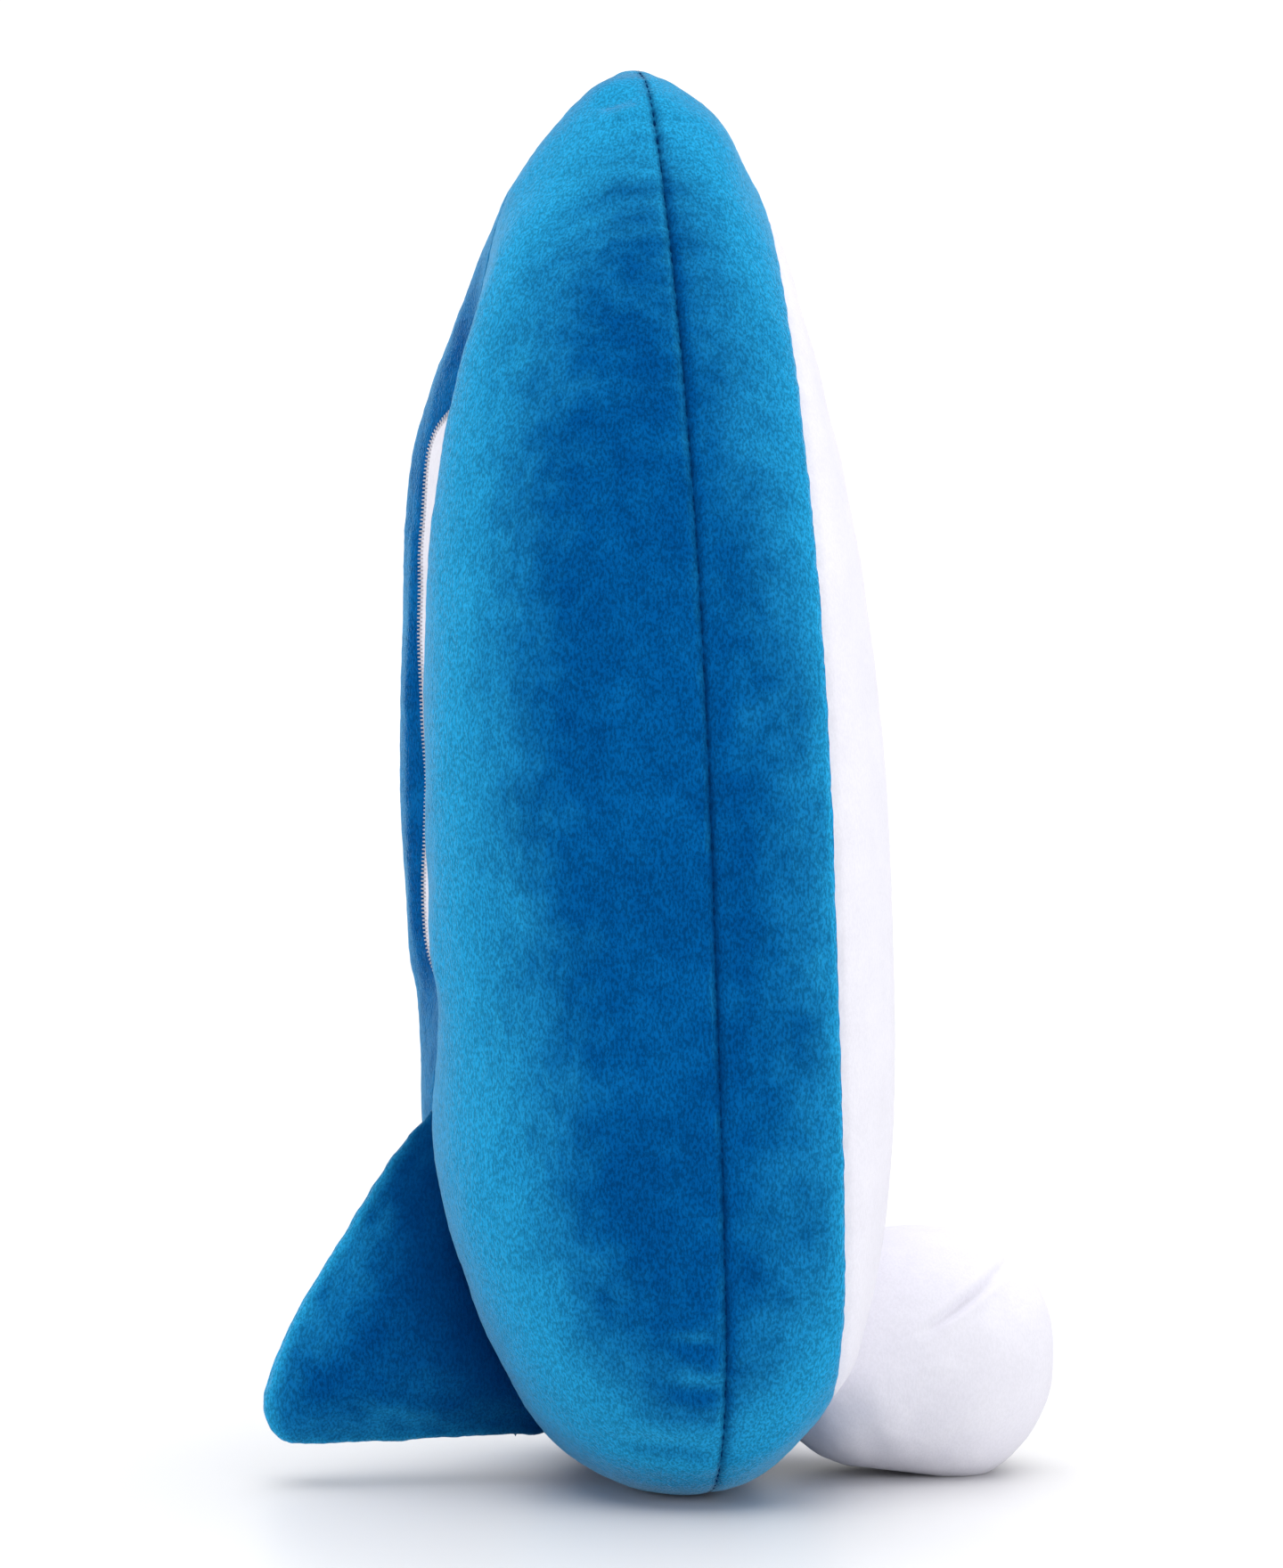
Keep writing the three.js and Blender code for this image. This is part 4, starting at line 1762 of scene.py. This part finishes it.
@dataclass(kw_only=True)
class Foot(Limb):
    """The stuffed foot, sewn to the deck at the tail."""

    name: str = "foot"
    plush: Slot = Slot.WHITE_PLUSH
    thread: Slot = Slot.WHITE_THREAD
    cloth: float = 2.0 * MM
    seam_hold: float = 2.0 * MM
    fill_slack: float = 1.0 * MM
    tuft_size: float = 3.5 * MM
    tuft_depth: float = 0.2 * MM
    seam_into_root: float = 4 * MM
    ring_steps: int = 37
    ring_blend: float = 0.12
    dip: SeamDip = SeamDip(crease=1.0 * MM, roll=0.1 * MM, pucker=0.2 * MM)
    stitching: Stitching = Stitching(length=2.2 * MM, radius=0.36 * MM)
    folds: tuple[Fold, ...] = (
        Fold((0.0620, 0.0385), (0.0885, 0.0550), 1.8 * MM, 1.1 * MM, Side.LEFT),
        Fold((0.0430, 0.0260), (0.0560, 0.0020), 0.6 * MM, 3.0 * MM, Side.LEFT),
        Fold((0.0650, 0.0340), (0.0790, 0.0460), 1.0 * MM, 1.4 * MM, Side.RIGHT),
    )
    neck: tuple[Swell, ...] = (
        Swell((0.043, 0.006), 11 * MM, 1.6 * MM),
        Swell((0.044, 0.019), 13 * MM, 4.0 * MM),
    )
    pulls: tuple[Pull, ...] = (
        Pull((0.0440, 0.0030), 15 * MM, (0.0, 2.4 * MM)),
        Pull((0.0800, 0.0050), 13 * MM, (0.0, -2.2 * MM)),
    )

    def __post_init__(self) -> None:
        """Reads the foot's place off the frame."""
        low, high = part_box("foot_stuffing")
        self.centre = np.array((low + high) / 2)

    def stuffed(self) -> StuffedForm:
        """Says how the form is made.

        Returns:
            A form whose root runs on into the deck.
        """
        return StuffedForm(
            "foot_form",
            self.solids(),
            grow=0.0,
            inflation=Inflation(reach=1.2 * MM),
            root=SewnRoot(self.surface, -OUT, near=0.8 * MM, far=4 * MM),
            voxel=3.0 * MM,
        )

    def find_seam(self, points: Rows) -> Rows:
        """Finds the seam between the halves on the form when it has just been cut along the middle.

        Args:
            points: The form's points.

        Returns:
            The numbers of the seam's points outside the deck, from the sole to the top.
        """
        _, root_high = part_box("foot_root_stitching")
        outside = points[:, 0] > root_high.x - self.seam_into_root
        return sewing_order(points, (np.abs(points[:, 1]) < ON_SEAM) & outside, self.centre, OUT, UP)

    def shape(self, form: Piece, run: SeamRun) -> None:
        """Draws the cloth in at the seam and folds, fills the neck out and draws the sole over.

        Args:
            form: The cut form.
            run: The seam between its halves.
        """
        points = points_of(form.data)
        sink = self.dip.sink(*run.nearest(points, self.dip.within))
        for fold in self.folds:
            sink += fold.sink(points)
        for swell in self.neck:
            sink -= swell.rise(points)
        moved = points + self.drawn_over(points)
        move_points(form.data, moved - sink[:, None] * normals_of(form.data))

    def root_run(self) -> SeamRun:
        """Follows the sewn ring round the foot's root on the deck.

        Returns:
            The ring, closed.
        """
        ring = points_of(frame["nodes"]["foot_root_stitching"].data)
        spread = ring - self.centre
        turn = np.arctan2(spread[:, 1], spread[:, 2])
        found = []
        for step in np.linspace(-math.pi, math.pi, self.ring_steps):
            gap = np.abs(np.angle(np.exp(1j * (turn - step))))
            place = np.average(ring, axis=0, weights=bell(gap, self.ring_blend))
            found.append(self.surface.find_nearest(Vector(place)))
        points = np.array([place for place, _, _, _ in found])
        normals = np.array([normal for _, normal, _, _ in found])
        return SeamRun(points, normals)

    def build(self) -> None:
        """Builds the foot and the ring of stitches round its root."""
        super().build()
        ring = self.stitching.sew("foot_root_stitching_stitches", self.root_run())
        self.finish(ring, self.thread, "foot_root_stitching")


# Studio


@dataclass(frozen=True)
class SoftBox:
    """A square lamp that points at the toy."""

    name: str
    place: tuple[float, float, float]
    size: float
    power: float

    def set_up(self, target: Vector) -> None:
        """Puts the lamp in its place.

        Args:
            target: Where it points.
        """
        lamp = bpy.data.lights.new(self.name, "AREA")
        lamp.size = self.size
        lamp.energy = self.power
        stand = bpy.data.objects.new(self.name, lamp)
        stand.location = self.place
        stand.rotation_euler = (target - Vector(self.place)).to_track_quat("-Z", "Y").to_euler()
        bpy.context.scene.collection.objects.link(stand)


@dataclass
class Studio:
    """White floor, white surroundings, soft lamps and the camera."""

    image: tuple[int, int] = (1440, 1760)
    sensor: float = 36
    clip: tuple[float, float] = (0.05, 40)
    focal_pixels: float = 5291
    principal: tuple[float, float] = (738, 839)
    distance: float = 1.2
    height: float = 0.185
    azimuth: float = math.radians(-8.5)
    floor_size: float = 60.0
    floor_cells: int = 8
    floor_scale: float = 3
    floor_shade: Colour = (0.76, 0.76, 0.77)
    floor_light: Colour = (0.78, 0.78, 0.79)
    surroundings: float = 0.3
    seen_surroundings: float = 1.1
    aim: tuple[float, float, float] = (0, 0, 0.17)
    ceiling: float = 3.1
    ceiling_spread: float = math.radians(76)
    ceiling_tilt: float = math.radians(4)
    lamps: tuple[SoftBox, ...] = (
        SoftBox("left_softbox", (-1.5, -0.3, 0.3), 1.0, 7),
        SoftBox("right_softbox", (1.25, -0.9, 0.3), 1.0, 7),
        SoftBox("front_softbox", (0.35, -1.8, 0.45), 1.0, 4),
    )

    def set_up(self) -> None:
        """Builds the studio."""
        scene = bpy.context.scene
        scene.view_settings.view_transform = "Standard"
        self.place_camera()
        self.lay_floor()
        self.light()

    def place_camera(self) -> None:
        """Sets the camera level at the photograph's angle, with its frame shifted to match."""
        wide, high = self.image
        camera = bpy.data.cameras.new("camera")
        camera.sensor_width = self.sensor
        camera.lens = self.sensor * self.focal_pixels / high
        camera.shift_x = (wide / 2 - self.principal[0]) / high
        camera.shift_y = -(high / 2 - self.principal[1]) / high
        camera.clip_start, camera.clip_end = self.clip
        stand = bpy.data.objects.new("camera", camera)
        away = Vector((math.sin(self.azimuth), -math.cos(self.azimuth), 0))
        stand.location = away * self.distance + Vector((0, 0, self.height))
        stand.rotation_euler = (-away).to_track_quat("-Z", "Y").to_euler()
        bpy.context.scene.collection.objects.link(stand)
        bpy.context.scene.camera = stand

    def lay_floor(self) -> None:
        """Lays a pale satin floor."""
        shape = bmesh.new()
        cells = self.floor_cells
        bmesh.ops.create_grid(shape, x_segments=cells, y_segments=cells, size=self.floor_size / 2)
        floor = object_from("floor", shape)
        graph = Graph("pale_floor")
        stops = [(0.3, self.floor_shade), (0.7, self.floor_light)]
        tone = graph.ramp(graph.noise(self.floor_scale), stops)
        finish = {"Base Color": tone, "Roughness": 0.42, "Specular IOR Level": 0.5}
        floor.data.materials.append(graph.shade(finish))

    def light(self) -> None:
        """Lights the toy from soft lamps and from surroundings that look pure white."""
        world = bpy.data.worlds.new("surroundings")
        bpy.context.scene.world = world
        world.use_nodes = True
        tree = world.node_tree
        background = tree.nodes["Background"]
        path = tree.nodes.new("ShaderNodeLightPath")
        strength = tree.nodes.new("ShaderNodeMapRange")
        strength.inputs["To Min"].default_value = self.surroundings
        strength.inputs["To Max"].default_value = self.seen_surroundings
        seen = tree.nodes.new("ShaderNodeMath")
        seen.operation = "MAXIMUM"
        tree.links.new(path.outputs["Is Camera Ray"], seen.inputs[0])
        tree.links.new(path.outputs["Is Glossy Ray"], seen.inputs[1])
        tree.links.new(seen.outputs[0], strength.inputs["Value"])
        tree.links.new(strength.outputs[0], background.inputs["Strength"])
        background.inputs["Color"].default_value = (1, 1, 1, 1)
        ceiling = bpy.data.lights.new("bright_ceiling", "SUN")
        ceiling.energy = self.ceiling
        ceiling.angle = self.ceiling_spread
        stand = bpy.data.objects.new("bright_ceiling", ceiling)
        stand.rotation_euler = (-self.ceiling_tilt, 0, 0)
        bpy.context.scene.collection.objects.link(stand)
        for lamp in self.lamps:
            lamp.set_up(Vector(self.aim))


def main() -> None:
    """Builds the toy piece by piece around the frame."""
    logging.basicConfig(level=logging.INFO, format="%(message)s")
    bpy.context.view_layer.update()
    finishes = Finishes()
    surface = Board(finishes=finishes).build()
    for part in (Patch, Fin, Foot):
        part(finishes=finishes, surface=surface).build()
    Studio().set_up()
    bpy.context.view_layer.update()


if __name__ == "__main__":
    main()
